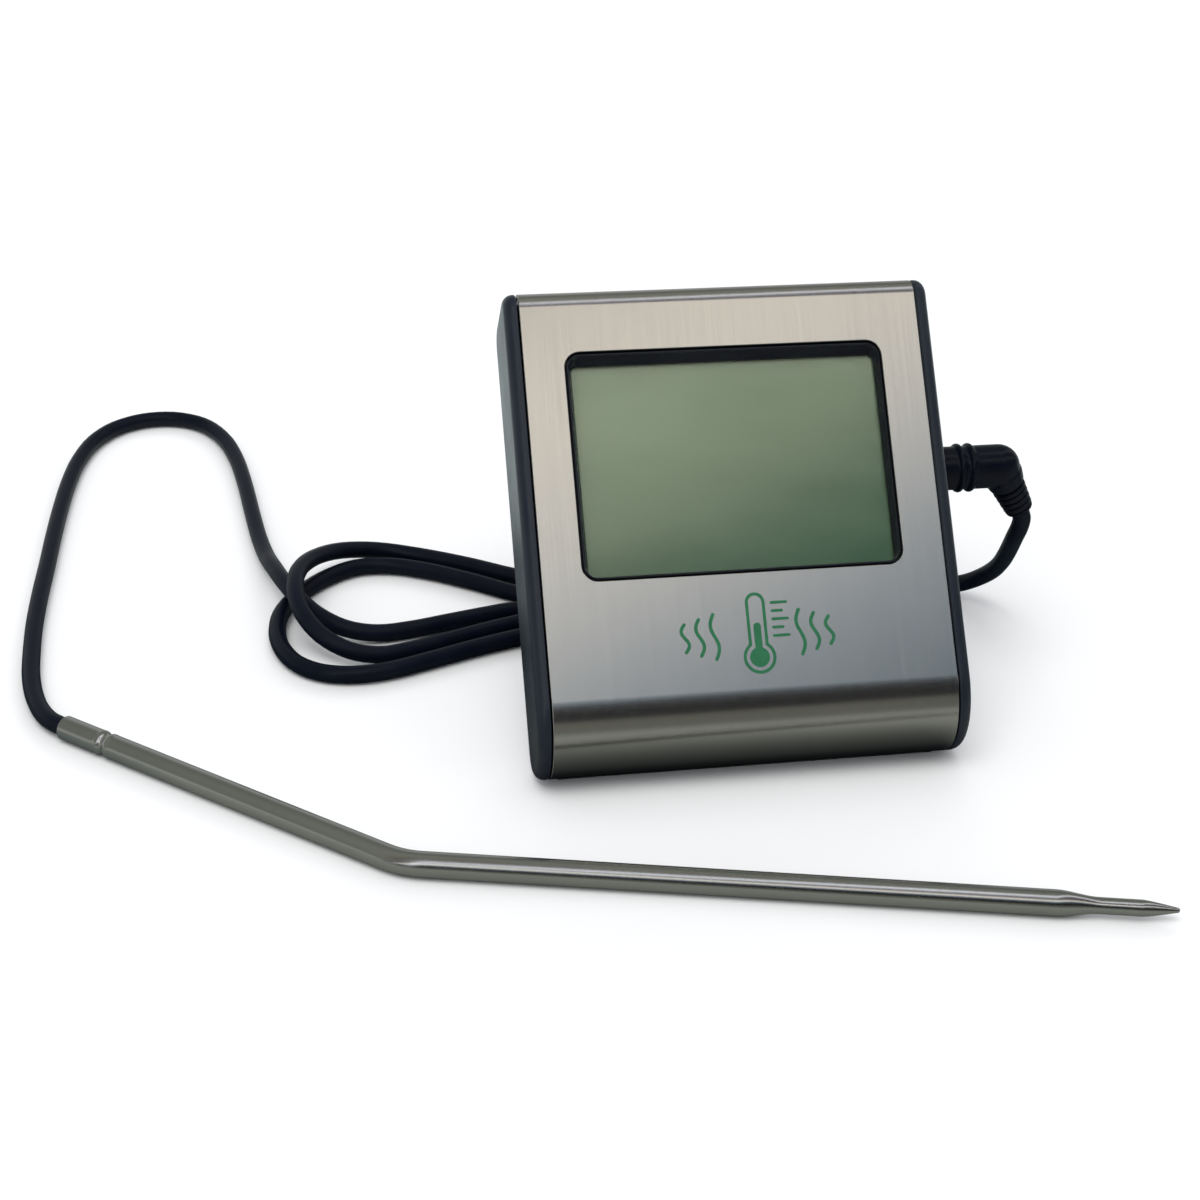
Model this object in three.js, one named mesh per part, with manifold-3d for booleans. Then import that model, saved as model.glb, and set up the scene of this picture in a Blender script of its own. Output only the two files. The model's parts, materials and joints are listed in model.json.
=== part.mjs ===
// Oven and meat thermometer: a table display unit that leans back on a fold-out leg, with a plug-in
// lead and a bent steel probe.
//
// Row frame, millimetres: +Z up, the display faces -Y, +X is to the right seen from the front.
// The origin is the centre of the rubber foot strip's flat face, on the table.
//
// The display unit is built upright in its own frame, x across, y = depth behind the face, z = height
// above the lower bend of the steel face, and the whole unit is then leaned back by LEAN.

import * as THREE from 'three';
import { mergeVertices } from 'three/addons/utils/BufferGeometryUtils.js';
import Module from 'manifold-3d';

const wasm = await Module();
wasm.setup();

// ---------------------------------------------------------------- driving dimensions

const DEG = Math.PI / 180;
const GAP = 0.3; // clearance between touching pieces

// display unit
const LEAN = 40 * DEG; // lean of the face back from vertical
const STEEL_HALF = 35.85; // half the width of the steel face
const CAP_INNER = STEEL_HALF + GAP; // inner face of an end cap
const UNIT_HALF = 38.5; // half the overall width
const DEPTH = 16.6; // face to back
const FACE_LOW = 0.5; // where the flat of the face starts
const FACE_HIGH = 69.9; // where it ends
const TOP_ROLL = 3.3; // radius of the roll over the top edge
const CHIN_DEEP = 10.6; // half axes of the elliptical bend under the chin
const CHIN_TALL = 12.1;
const TOP_FALL = 11 * DEG; // slope of the top side down to the back
const TOP_ANGLE = Math.PI / 2 - TOP_FALL; // where a rounded edge meets that side
const REAR_ROLL = 5.0; // radius of both rear edges
const UNIT_LOW = FACE_LOW - CHIN_TALL; // underside
const UNIT_HIGH = FACE_HIGH + TOP_ROLL; // highest line of the top roll
const REAR_CENTRE_Y = DEPTH - REAR_ROLL;
const REAR_CENTRE_LOW = UNIT_LOW + REAR_ROLL;
const REAR_CENTRE_HIGH = topAt(REAR_CENTRE_Y, 0) - REAR_ROLL / Math.cos(TOP_FALL);
const STEEL_SHEET = 0.5;
const STEEL_END = 11.3; // depth that the steel wraps back to
const COVER_START = STEEL_END + GAP; // front edge of the rear cover
const COVER_WALL = 1.6;
const CAP_EDGE = 1.9; // rounding of an end cap's outer edge

// window and display
const WINDOW = { x0: -28.7, x1: 28.5, z0: 20.7, z1: 61.5, r: 2.8 };
const BEZEL_RIM = { x0: -27.9, x1: 27.9, z0: 21.4, z1: 60.7, r: 2.0 }; // front of its sloped walls
const VISIBLE = { x0: -27.3, x1: 27.4, z0: 21.8, z1: 59.4, r: 1.0 };
const BEZEL_FRONT = 0.2;
const BEZEL_BACK = 2.2;
const LCD = { x0: -31, x1: 31, z0: 18.5, z1: 62.2 };
const BOARD = { x0: -33.5, x1: 33.5, z0: 13.0, z1: 61.8, y0: 5.9, y1: 7.1 };
const BEHIND_BOARD = BOARD.y1 + GAP; // where parts on the board's back begin

// stand leg
const HINGE_Y = 14.6;
const HINGE_Z = 40.0;
const LEG_OPEN = 42 * DEG; // swing from folded to open
const LEG_HALF = 14.0;
const LEG_THICK = 2.6;
const BARREL_R = 1.9;
const PIN_R = 0.8;
const PIN_BORE_R = PIN_R + GAP;
const PAD_HEIGHT = 3.0;
const POCKET_FLOOR = 12.4;

// battery bay and its door
const CELL_Z = 56.0;
const CELL_R = 10.0;
const DOOR = { x: 13.0, z0: 45.5, z1: 67.0, y0: 15.1, y1: 16.5 };

// controls and fixings on the back
const SWITCH = { x: -27.5, z: 55.0, travel: 3.0 };
const BUTTONS = [
  { name: 'upper', z: 59.5 },
  { name: 'lower', z: 50.5 },
];
const BUTTON_X = 26.0;
const MAGNET = { x: 25.5, z: 29.0, r: 5.0 };
const BUZZER = { x: 25.5, z: 8.0 };
const SCREWS = [
  { name: 'upper_left', x: -31.6, z: 65 },
  { name: 'upper_right', x: 31.6, z: 65 },
  { name: 'lower_left', x: -31.6, z: -3.5 },
  { name: 'lower_right', x: 31.6, z: -3.5 },
];

// jack, plug and lead
const JACK_Y = 9.9;
const JACK_Z = 39.5;
const JACK_BORE = 1.6;
const JACK_NOSE = 2.8;
const JACK_HOLE = JACK_NOSE + GAP;
const PLUG_PIN_R = 1.25;
const PLUG_R = 4.0;
const ELBOW_X = 51.4; // where the moulded plug turns down
const ELBOW_TURN = 60 * DEG;
const ELBOW_LENGTH = 4.6; // elbow centre to the ribbed relief
const RELIEF_LENGTH = 5.6;
const CORD_R = 1.7;
const CORD_SIDES = 8;
const CORD_STEP = 8.0; // length of one straight step of a cord tube

// probe
const PROBE_R = 2.2;
const PROBE_BORE = 1.8;
const PROBE_START = new THREE.Vector3(-119.0, 23.1, PROBE_R);
const PROBE_HEADING = -40.26 * DEG;
const PROBE_TURN = 27.06 * DEG;
const PROBE_BEND_R = 14;
const HANDLE_LENGTH = 73.1; // cord end to the corner of the bend
const SHAFT_LENGTH = 105; // corner of the bend to the swaged tip
const TIP_TAPER = 8.0;
const TIP_NEEDLE = 14.4; // end of the thin section
const TIP_LENGTH = 20.4;
const TIP_R = 1.36;

// rubber foot strip under the rear bottom edge
const STRIP_PROUD = 0.6;
const STRIP = { x: 34, y: 1.1, height: 1.2 };

// where the leaned unit's own origin lies, so that the strip's face is at the row origin
const UNIT_Y = REAR_CENTRE_LOW * -Math.sin(LEAN) - REAR_CENTRE_Y * Math.cos(LEAN);
const UNIT_Z = REAR_ROLL + STRIP_PROUD
  - REAR_CENTRE_LOW * Math.cos(LEAN) + REAR_CENTRE_Y * Math.sin(LEAN);

// ---------------------------------------------------------------- materials

function finish(color, roughness, metalness, extra = {}) {
  return new THREE.MeshStandardMaterial({ color, roughness, metalness, ...extra });
}

const steel = finish(0xb9b4ad, 0.32, 1.0);
const brightSteel = finish(0xa9a8a0, 0.25, 1.0);
const nickel = finish(0xc9c6bd, 0.2, 1.0);
const blackPlastic = finish(0x1d2023, 0.45, 0.0);
const glossBlack = finish(0x0c0d10, 0.15, 0.0);
const rubber = finish(0x17191d, 0.7, 0.0);
const cordRubber = finish(0x12151d, 0.45, 0.0);
const clearLens = finish(0xe8eeea, 0.05, 0.0, { transparent: true, opacity: 0.3 });
const lcdGlass = finish(0x84927a, 0.12, 0.0);
const foil = finish(0xc4c8c2, 0.3, 0.6);
const boardGreen = finish(0x1f5b3a, 0.5, 0.0);
const ceramicGrey = finish(0x5c6064, 0.6, 0.0);

// ---------------------------------------------------------------- solids and shapes

// A closed geometry as a solid that can be joined and cut.
function solid(geometry) {
  const bare = geometry.clone();
  bare.deleteAttribute('normal');
  bare.deleteAttribute('uv');
  const merged = mergeVertices(bare, 1e-4);
  return new wasm.Manifold(new wasm.Mesh({
    numProp: 3,
    vertProperties: new Float32Array(merged.attributes.position.array),
    triVerts: new Uint32Array(merged.index.array),
  }));
}

function geometryOf(manifold) {
  const mesh = manifold.getMesh();
  const geometry = new THREE.BufferGeometry();
  geometry.setAttribute('position', new THREE.BufferAttribute(mesh.vertProperties, 3));
  geometry.setIndex(new THREE.BufferAttribute(mesh.triVerts, 1));
  geometry.computeVertexNormals();
  return geometry;
}

function cut(base, ...tools) {
  let result = solid(base);
  for (const tool of tools) {
    result = result.subtract(solid(tool));
  }
  return geometryOf(result);
}

function join(base, ...others) {
  let result = solid(base);
  for (const other of others) {
    result = result.add(solid(other));
  }
  return geometryOf(result);
}

function keep(base, region) {
  return geometryOf(solid(base).intersect(solid(region)));
}

// Box from its corners.
function block(x0, x1, y0, y1, z0, z1) {
  const box = new THREE.BoxGeometry(x1 - x0, y1 - y0, z1 - z0);
  return box.translate((x0 + x1) / 2, (y0 + y1) / 2, (z0 + z1) / 2);
}

// Round bar along y, from y0 to y1.
function barY(r, x, z, y0, y1, sides = 24) {
  return new THREE.CylinderGeometry(r, r, y1 - y0, sides).translate(x, (y0 + y1) / 2, z);
}

// Round bar along x, from x0 to x1.
function barX(r, y, z, x0, x1, sides = 24) {
  const bar = new THREE.CylinderGeometry(r, r, x1 - x0, sides).rotateZ(Math.PI / 2);
  return bar.translate((x0 + x1) / 2, y, z);
}

// Outline in (depth, height), pulled out along x.
function alongX(shape, x0, x1, segments = 8) {
  const geometry = new THREE.ExtrudeGeometry(shape, {
    depth: x1 - x0, bevelEnabled: false, curveSegments: segments,
  });
  const turn = new THREE.Matrix4().makeBasis(
    new THREE.Vector3(0, 1, 0), new THREE.Vector3(0, 0, 1), new THREE.Vector3(1, 0, 0),
  );
  return geometry.applyMatrix4(turn).translate(x0, 0, 0);
}

// Outline in (x, height), pulled out in depth from y0 to y1, with an optional edge chamfer.
function alongY(shape, y0, y1, edge = 0, segments = 6) {
  const geometry = new THREE.ExtrudeGeometry(shape, {
    depth: y1 - y0 - 2 * edge,
    bevelEnabled: edge > 0,
    bevelThickness: edge,
    bevelSize: edge,
    bevelOffset: -edge,
    bevelSegments: 2,
    curveSegments: segments,
  });
  const turn = new THREE.Matrix4().makeBasis(
    new THREE.Vector3(1, 0, 0), new THREE.Vector3(0, 0, 1), new THREE.Vector3(0, -1, 0),
  );
  return geometry.applyMatrix4(turn).translate(0, y1 - edge, 0);
}

function roundedRect(x0, x1, z0, z1, r) {
  const shape = new THREE.Shape();
  shape.moveTo(x0 + r, z0);
  shape.lineTo(x1 - r, z0);
  shape.absarc(x1 - r, z0 + r, r, -Math.PI / 2, 0, false);
  shape.lineTo(x1, z1 - r);
  shape.absarc(x1 - r, z1 - r, r, 0, Math.PI / 2, false);
  shape.lineTo(x0 + r, z1);
  shape.absarc(x0 + r, z1 - r, r, Math.PI / 2, Math.PI, false);
  shape.lineTo(x0, z0 + r);
  shape.absarc(x0 + r, z0 + r, r, Math.PI, Math.PI * 1.5, false);
  return shape;
}

// A window-like frame opening, grown (positive) or shrunk (negative) by margin.
function windowShape(frame, margin) {
  const r = Math.max(frame.r + margin, 0.3);
  return roundedRect(
    frame.x0 - margin, frame.x1 + margin, frame.z0 - margin, frame.z1 + margin, r,
  );
}

function rectShape(x0, x1, z0, z1) {
  const shape = new THREE.Shape();
  shape.moveTo(x0, z0);
  shape.lineTo(x1, z0);
  shape.lineTo(x1, z1);
  shape.lineTo(x0, z1);
  return shape;
}

// Height of the sloped top side at a depth, inset by margin.
function topAt(depth, margin) {
  const drop = Math.sin(TOP_FALL) * (depth - TOP_ROLL);
  return FACE_HIGH + (TOP_ROLL - margin - drop) / Math.cos(TOP_FALL);
}

// The unit's side outline in (depth, height).
function sideOutline() {
  const shape = new THREE.Shape();
  shape.moveTo(CHIN_DEEP, UNIT_LOW);
  shape.lineTo(REAR_CENTRE_Y, UNIT_LOW);
  shape.absarc(REAR_CENTRE_Y, REAR_CENTRE_LOW, REAR_ROLL, -Math.PI / 2, 0, false);
  shape.lineTo(DEPTH, REAR_CENTRE_HIGH);
  shape.absarc(REAR_CENTRE_Y, REAR_CENTRE_HIGH, REAR_ROLL, 0, TOP_ANGLE, false);
  shape.absarc(TOP_ROLL, FACE_HIGH, TOP_ROLL, TOP_ANGLE, Math.PI, false);
  shape.lineTo(0, FACE_LOW);
  shape.absellipse(CHIN_DEEP, FACE_LOW, CHIN_DEEP, CHIN_TALL, Math.PI, Math.PI * 1.5, false);
  return shape;
}

// A sheet that follows the front of the outline, between two insets, back to the depth yEnd.
function frontWrap(outer, inner, yEnd) {
  const shape = new THREE.Shape();
  const chin = (inset, start, end, clockwise) => shape.absellipse(
    CHIN_DEEP, FACE_LOW, CHIN_DEEP - inset, CHIN_TALL - inset, start, end, clockwise,
  );
  shape.moveTo(yEnd, topAt(yEnd, outer));
  shape.absarc(TOP_ROLL, FACE_HIGH, TOP_ROLL - outer, TOP_ANGLE, Math.PI, false);
  shape.lineTo(outer, FACE_LOW);
  chin(outer, Math.PI, Math.PI * 1.5, false);
  shape.lineTo(yEnd, UNIT_LOW + outer);
  shape.lineTo(yEnd, UNIT_LOW + inner);
  chin(inner, Math.PI * 1.5, Math.PI, true);
  shape.lineTo(inner, FACE_HIGH);
  shape.absarc(TOP_ROLL, FACE_HIGH, TOP_ROLL - inner, Math.PI, TOP_ANGLE, true);
  shape.lineTo(yEnd, topAt(yEnd, inner));
  return shape;
}

// The back of the outline from the depth yStart, inset all round by margin.
function rearOutline(yStart, margin) {
  const shape = new THREE.Shape();
  const r = REAR_ROLL - margin;
  shape.moveTo(yStart, UNIT_LOW + margin);
  shape.absarc(REAR_CENTRE_Y, REAR_CENTRE_LOW, r, -Math.PI / 2, 0, false);
  shape.lineTo(DEPTH - margin, REAR_CENTRE_HIGH);
  shape.absarc(REAR_CENTRE_Y, REAR_CENTRE_HIGH, r, 0, TOP_ANGLE, false);
  shape.lineTo(yStart, topAt(yStart, margin));
  return shape;
}

// Solid between two window-like frames, the first at depth y0 and the second at y1.
function taperY(first, second, y0, y1) {
  const loops = [[first, y0], [second, y1]].map(([frame, y]) => {
    const corners = windowShape(frame, 0).getPoints(4);
    const apart = corners.filter((p, i) => p.distanceTo(corners.at(i - 1)) > 1e-6);
    return apart.map((p) => [p.x, y, p.y]);
  });
  const count = loops[0].length;
  const middle = [(first.x0 + first.x1) / 2, (first.z0 + first.z1) / 2];
  const positions = [...loops.flat(), [middle[0], y0, middle[1]], [middle[0], y1, middle[1]]];
  const faces = [];
  for (let i = 0; i < count; i += 1) {
    const next = (i + 1) % count;
    faces.push(i, next, count * 2);
    faces.push(count + next, count + i, count * 2 + 1);
    faces.push(i, count + i, next);
    faces.push(next, count + i, count + next);
  }
  const geometry = new THREE.BufferGeometry();
  geometry.setAttribute('position', new THREE.Float32BufferAttribute(positions.flat(), 3));
  geometry.setIndex(faces);
  return geometry;
}

// Round profile turned about the x axis: points are [distance along x, radius].
function turnedX(points, sides = 24) {
  const profile = points.map(([along, radius]) => new THREE.Vector2(radius, along));
  return new THREE.LatheGeometry(profile, sides).rotateZ(-Math.PI / 2);
}

function ellipsoid(r, stretch, sides = 12) {
  return new THREE.SphereGeometry(r, sides, sides / 2 + 2).scale(stretch, 1, 1);
}

function add(group, name, geometry, material) {
  const mesh = new THREE.Mesh(geometry, material);
  mesh.name = name;
  group.add(mesh);
  return mesh;
}

// ---------------------------------------------------------------- shell of the display unit

function addShell(unit) {
  const wrap = alongX(frontWrap(0, STEEL_SHEET, STEEL_END), -STEEL_HALF, STEEL_HALF, 10);
  const opening = alongY(windowShape(WINDOW, 0), -1, STEEL_SHEET + 1);
  add(unit, 'front_panel', cut(wrap, opening), steel);

  // black carrier behind the steel
  const inset = STEEL_SHEET + GAP;
  const chassisHalf = STEEL_HALF - 0.2;
  const carrier = alongX(frontWrap(inset, inset + 0.9, STEEL_END), -chassisHalf, chassisHalf, 10);
  const bezelHole = alongY(windowShape(WINDOW, 0), -1, 3);
  const postStart = (screw) => (screw.z < FACE_LOW ? 2.6 : 1.4); // the chin curves back
  const posts = SCREWS.map(
    (screw) => barY(2.3, screw.x, screw.z, postStart(screw), STEEL_END, 16),
  );
  const postHoles = SCREWS.map((screw) => barY(1.4, screw.x, screw.z, 4, 12, 12));
  const boardStops = [-1, 1].map((side) => block(side * 33 - 1, side * 33 + 1, 1.5, 5.6, 30, 36));
  const chassis = join(carrier, ...posts, ...boardStops);
  add(unit, 'front_chassis', cut(chassis, bezelHole, ...postHoles), blackPlastic);

  for (const side of [-1, 1]) {
    const rounded = new THREE.ExtrudeGeometry(sideOutline(), {
      depth: 0.8,
      bevelEnabled: true,
      bevelThickness: CAP_EDGE,
      bevelSize: CAP_EDGE,
      bevelOffset: -CAP_EDGE,
      bevelSegments: 3,
      curveSegments: 7,
    });
    const turn = new THREE.Matrix4().makeBasis(
      new THREE.Vector3(0, 1, 0), new THREE.Vector3(0, 0, 1), new THREE.Vector3(1, 0, 0),
    );
    rounded.applyMatrix4(turn);
    if (side > 0) {
      rounded.translate(UNIT_HALF - CAP_EDGE - 0.8, 0, 0);
    } else {
      rounded.translate(CAP_EDGE - UNIT_HALF, 0, 0);
    }
    const inner = Math.min(side * CAP_INNER, side * (UNIT_HALF + 1));
    const outer = Math.max(side * CAP_INNER, side * (UNIT_HALF + 1));
    let cap = keep(rounded, block(inner, outer, -1, DEPTH + 1, UNIT_LOW - 1, UNIT_HIGH + 1));
    if (side > 0) {
      cap = cut(cap, barX(JACK_HOLE, JACK_Y, JACK_Z, 30, 45, 20));
    }
    add(unit, side > 0 ? 'right_end_cap' : 'left_end_cap', cap, blackPlastic);
  }
}

function addRearCover(unit) {
  const half = STEEL_HALF;
  const outer = alongX(rearOutline(COVER_START, 0), -half, half, 6);
  const hollow = alongX(
    rearOutline(COVER_START - 2, COVER_WALL), COVER_WALL - half, half - COVER_WALL, 6,
  );
  const legTray = block(-15.8, 15.8, POCKET_FLOOR - 1, 15.3, -2.8, 44.2);
  const cellTray = block(-14.6, 14.6, 9.3, 15.3, 44.0, 68.6);
  const bosses = SCREWS.map((screw) => barY(3.3, screw.x, screw.z, COVER_START, 15.3, 20));
  const magnetCups = [-1, 1].map(
    (side) => barY(6.4, side * MAGNET.x, MAGNET.z, 13.4, 15.3, 24),
  );
  let cover = join(cut(outer, hollow), legTray, cellTray, ...bosses, ...magnetCups);
  cover = keep(cover, alongX(rearOutline(9, 0), -half, half, 6));

  const cuts = [
    alongY(roundedRect(-LEG_HALF - 0.4, LEG_HALF + 0.4, -1.6, 42.6, 1.2), POCKET_FLOOR, 18),
    alongY(roundedRect(-5, 5, -4.2, 2, 2), 14.6, 18), // finger notch below the leg
    barX(PIN_BORE_R, HINGE_Y, HINGE_Z, -16.3, 16.3, 12),
    barX(JACK_HOLE, JACK_Y, JACK_Z, 33, 37, 20),
    barY(CELL_R + 0.4, 0, CELL_Z, 10.4, 18, 32),
    block(-2.4, 2.4, 10.6, 18, CELL_Z + 9.5, 67.4), // side contact's notch
    alongY(roundedRect(-DOOR.x - GAP, DOOR.x + GAP, DOOR.z0 - 0.4, DOOR.z1 + GAP, 1), 14.6, 18),
    block(-3, 3, 15.6, 18, 66, 68.3), // nail slot above the door
    alongY(roundedRect(SWITCH.x - 3, SWITCH.x + SWITCH.travel + 3, SWITCH.z - 2, SWITCH.z + 2, 0.8),
      12, 18),
  ];
  for (const screw of SCREWS) {
    cuts.push(barY(1.4, screw.x, screw.z, 9, 18, 12));
    cuts.push(barY(2.5, screw.x, screw.z, 15.0, 18, 20));
  }
  for (const button of BUTTONS) {
    cuts.push(barY(2.9, BUTTON_X, button.z, 12, 18, 20));
  }
  for (const side of [-1, 1]) {
    cuts.push(barY(MAGNET.r + GAP, side * MAGNET.x, MAGNET.z, 14.6, 18, 28));
  }
  const grille = [[0, 0], [3, 0], [-3, 0], [0, 3], [0, -3]];
  for (const [dx, dz] of grille) {
    cuts.push(barY(0.8, BUZZER.x + dx, BUZZER.z + dz, 12, 18, 8));
  }
  // groove for the foot strip, square to the table
  const groove = block(
    -STRIP.x - GAP, STRIP.x + GAP, -STRIP.y - GAP, STRIP.y + GAP, -1, STRIP.height + GAP,
  );
  const toUnit = new THREE.Matrix4().makeTranslation(0, -UNIT_Y, -UNIT_Z);
  groove.applyMatrix4(toUnit).applyMatrix4(new THREE.Matrix4().makeRotationX(LEAN));
  cuts.push(groove);
  add(unit, 'rear_cover', cut(cover, ...cuts), blackPlastic);

  for (const screw of SCREWS) {
    const head = barY(2.1, screw.x, screw.z, 15.3, 16.4, 20);
    const shank = barY(1.1, screw.x, screw.z, 5.0, 15.5, 12);
    const slotA = block(screw.x - 1.4, screw.x + 1.4, 15.9, 17, screw.z - 0.3, screw.z + 0.3);
    const slotB = block(screw.x - 0.3, screw.x + 0.3, 15.9, 17, screw.z - 1.4, screw.z + 1.4);
    add(unit, `case_screw_${screw.name}`, cut(join(head, shank), slotA, slotB), nickel);
  }
  for (const side of [-1, 1]) {
    const name = side > 0 ? 'magnet_right' : 'magnet_left';
    add(unit, name, barY(MAGNET.r, side * MAGNET.x, MAGNET.z, 14.9, 16.8, 32), nickel);
  }
}

// ---------------------------------------------------------------- display and electronics

function addDisplay(unit) {
  // the bezel fills the window in the steel and slopes in to the visible part of the display
  const flange = alongY(rectShape(LCD.x0, LCD.x1, LCD.z0, LCD.z1), 2.0, BEZEL_BACK);
  const rim = alongY(windowShape(WINDOW, -GAP), BEZEL_FRONT, 2.1, 0.15);
  const walls = taperY(BEZEL_RIM, VISIBLE, BEZEL_FRONT - 0.05, BEZEL_BACK + 0.05);
  add(unit, 'display_bezel', cut(join(flange, rim), walls), glossBlack);
  add(unit, 'display_lens', alongY(windowShape(VISIBLE, 1.2), 2.5, 2.9, 0, 4), clearLens);
  add(unit, 'lcd_glass', block(LCD.x0, LCD.x1, 3.2, 4.6, LCD.z0, LCD.z1), lcdGlass);
  add(unit, 'lcd_reflector', block(-29, 29, 4.9, 5.2, 21.2, 59.5), foil);
  add(unit, 'zebra_strip_upper', block(-29, 29, 4.9, 5.6, 59.9, 61.6), rubber);
  add(unit, 'zebra_strip_lower', block(-29, 29, 4.9, 5.6, 18.9, 20.7), rubber);

  const board = alongY(roundedRect(BOARD.x0, BOARD.x1, BOARD.z0, BOARD.z1, 1), BOARD.y0, BOARD.y1);
  const stopNotches = [-1, 1].map((side) => block(side * 33 - 1.4, side * 33 + 1.4, 5, 8, 28, 38));
  add(unit, 'circuit_board', cut(board, ...stopNotches), boardGreen);
  const dome = [[0, 0], [0, 4.6], [0.5, 4.3], [1.0, 3.2], [1.35, 1.6], [1.45, 0]];
  const chip = turnedX(dome, 20).rotateZ(Math.PI / 2).translate(0, BEHIND_BOARD, 30);
  add(unit, 'chip_cover', chip, glossBlack);
  add(unit, 'buzzer', barY(5.4, BUZZER.x, BUZZER.z + 11, BEHIND_BOARD, 10.6, 24), glossBlack);

  const socketBlock = block(24.5, 33.9, BEHIND_BOARD, 12.4, JACK_Z - 3, JACK_Z + 3);
  const nose = barX(JACK_NOSE, JACK_Y, JACK_Z, 33, UNIT_HALF - 0.1, 20);
  const bore = barX(JACK_BORE, JACK_Y, JACK_Z, 26, UNIT_HALF + 1, 20);
  add(unit, 'jack_socket', cut(join(socketBlock, nose), bore), blackPlastic);
}

function addBattery(unit) {
  const cell = barY(CELL_R, 0, CELL_Z, 11.0, 14.2, 40);
  add(unit, 'coin_cell', cell, nickel);
  add(unit, 'cell_contact_floor', barY(4, 0, CELL_Z, 10.5, 10.7, 16), nickel);
  const sideContact = block(-1.8, 1.8, 10.9, 14.2, CELL_Z + 10.55, CELL_Z + 10.85);
  add(unit, 'cell_contact_side', sideContact, nickel);

  const plate = alongY(roundedRect(-DOOR.x, DOOR.x, DOOR.z0, DOOR.z1, 0.8), DOOR.y0, DOOR.y1, 0.2);
  const ribs = [0, 1, 2].map((k) => block(-4, 4, 16.3, 16.75, 61.6 + 1.3 * k, 62.2 + 1.3 * k));
  add(unit, 'battery_door', join(plate, ...ribs), blackPlastic);
}

function addControls(unit) {
  const body = block(
    SWITCH.x - 2.9, SWITCH.x + SWITCH.travel + 2.9, BEHIND_BOARD, 11.6, SWITCH.z - 2, SWITCH.z + 2,
  );
  add(unit, 'slide_switch_body', body, ceramicGrey);
  const stem = block(SWITCH.x - 1, SWITCH.x + 1, 11.9, 15, SWITCH.z - 1, SWITCH.z + 1);
  const knob = block(SWITCH.x - 2, SWITCH.x + 2, 14.8, 17.3, SWITCH.z - 1.5, SWITCH.z + 1.5);
  const grips = [-1, 0, 1].map((k) => block(
    SWITCH.x + k - 0.25, SWITCH.x + k + 0.25, 16.9, 18, SWITCH.z - 2, SWITCH.z + 2,
  ));
  add(unit, 'slide_switch_knob', cut(join(stem, knob), ...grips), blackPlastic);

  for (const button of BUTTONS) {
    const tact = block(
      BUTTON_X - 2.5, BUTTON_X + 2.5, BEHIND_BOARD, 10.4, button.z - 2.5, button.z + 2.5,
    );
    add(unit, `tact_switch_${button.name}`, tact, ceramicGrey);
    const cap = [[11.6, 0], [11.6, 2.0], [13.4, 2.0], [13.4, 3.5], [14.2, 3.5], [14.2, 2.6],
      [16.9, 2.6], [17.3, 2.2], [17.3, 0]];
    const geometry = turnedX(cap, 24).rotateZ(Math.PI / 2).translate(BUTTON_X, 0, button.z);
    add(unit, `button_${button.name}`, geometry, rubber);
  }
}

// ---------------------------------------------------------------- stand

// The leg is built folded, hanging down from its hinge axis, then swung open.
function addStand(unit) {
  const hinge = new THREE.Group();
  hinge.position.set(0, HINGE_Y, HINGE_Z);
  hinge.rotation.x = LEG_OPEN;
  unit.add(hinge);

  const tilt = LEG_OPEN - LEAN;
  const hingeHeight = UNIT_Z + HINGE_Z * Math.cos(LEAN) - HINGE_Y * Math.sin(LEAN);
  // height of the table under a point at depth y of the leg, along the leg
  const tableAt = (y) => -(hingeHeight + y * Math.sin(tilt)) / Math.cos(tilt);
  const halfThick = LEG_THICK / 2;
  const legEnd = tableAt(0) + PAD_HEIGHT + GAP;

  const outline = new THREE.Shape();
  outline.moveTo(-11, legEnd);
  outline.lineTo(11, legEnd);
  outline.lineTo(LEG_HALF, -10);
  outline.lineTo(LEG_HALF, 0);
  outline.lineTo(-LEG_HALF, 0);
  outline.lineTo(-LEG_HALF, -10);
  const plate = alongY(outline, -halfThick, halfThick, 0.3);
  const relief = alongY(roundedRect(-8.5, 8.5, legEnd + 5, -7, 2), halfThick - 0.7, 3);
  const rib = block(-0.6, 0.6, halfThick - 1, halfThick, legEnd + 4, -6);
  const barrel = barX(BARREL_R, 0, 0, -LEG_HALF, LEG_HALF, 24);
  const bore = barX(PIN_BORE_R, 0, 0, -LEG_HALF - 1, LEG_HALF + 1, 16);
  const leg = cut(join(cut(plate, relief), rib, barrel), bore);
  add(hinge, 'stand_leg', leg, blackPlastic);

  const padSide = new THREE.Shape();
  padSide.moveTo(-halfThick, tableAt(-halfThick));
  padSide.lineTo(halfThick, tableAt(halfThick));
  padSide.lineTo(halfThick, legEnd - GAP);
  padSide.lineTo(-halfThick, legEnd - GAP);
  add(hinge, 'stand_foot_pad', alongX(padSide, -11, 11), rubber);

  add(unit, 'stand_hinge_pin', barX(PIN_R, HINGE_Y, HINGE_Z, -16.1, 16.1, 16), nickel);
}

// ---------------------------------------------------------------- plug, lead and probe

// Plug and relief are built along x in the row frame, at the jack's axis.
const JACK = new THREE.Vector3(
  UNIT_HALF,
  UNIT_Y + JACK_Z * Math.sin(LEAN) + JACK_Y * Math.cos(LEAN),
  UNIT_Z + JACK_Z * Math.cos(LEAN) - JACK_Y * Math.sin(LEAN),
);
const RELIEF_WAY = new THREE.Vector3(Math.cos(ELBOW_TURN), 0, -Math.sin(ELBOW_TURN));

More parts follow.
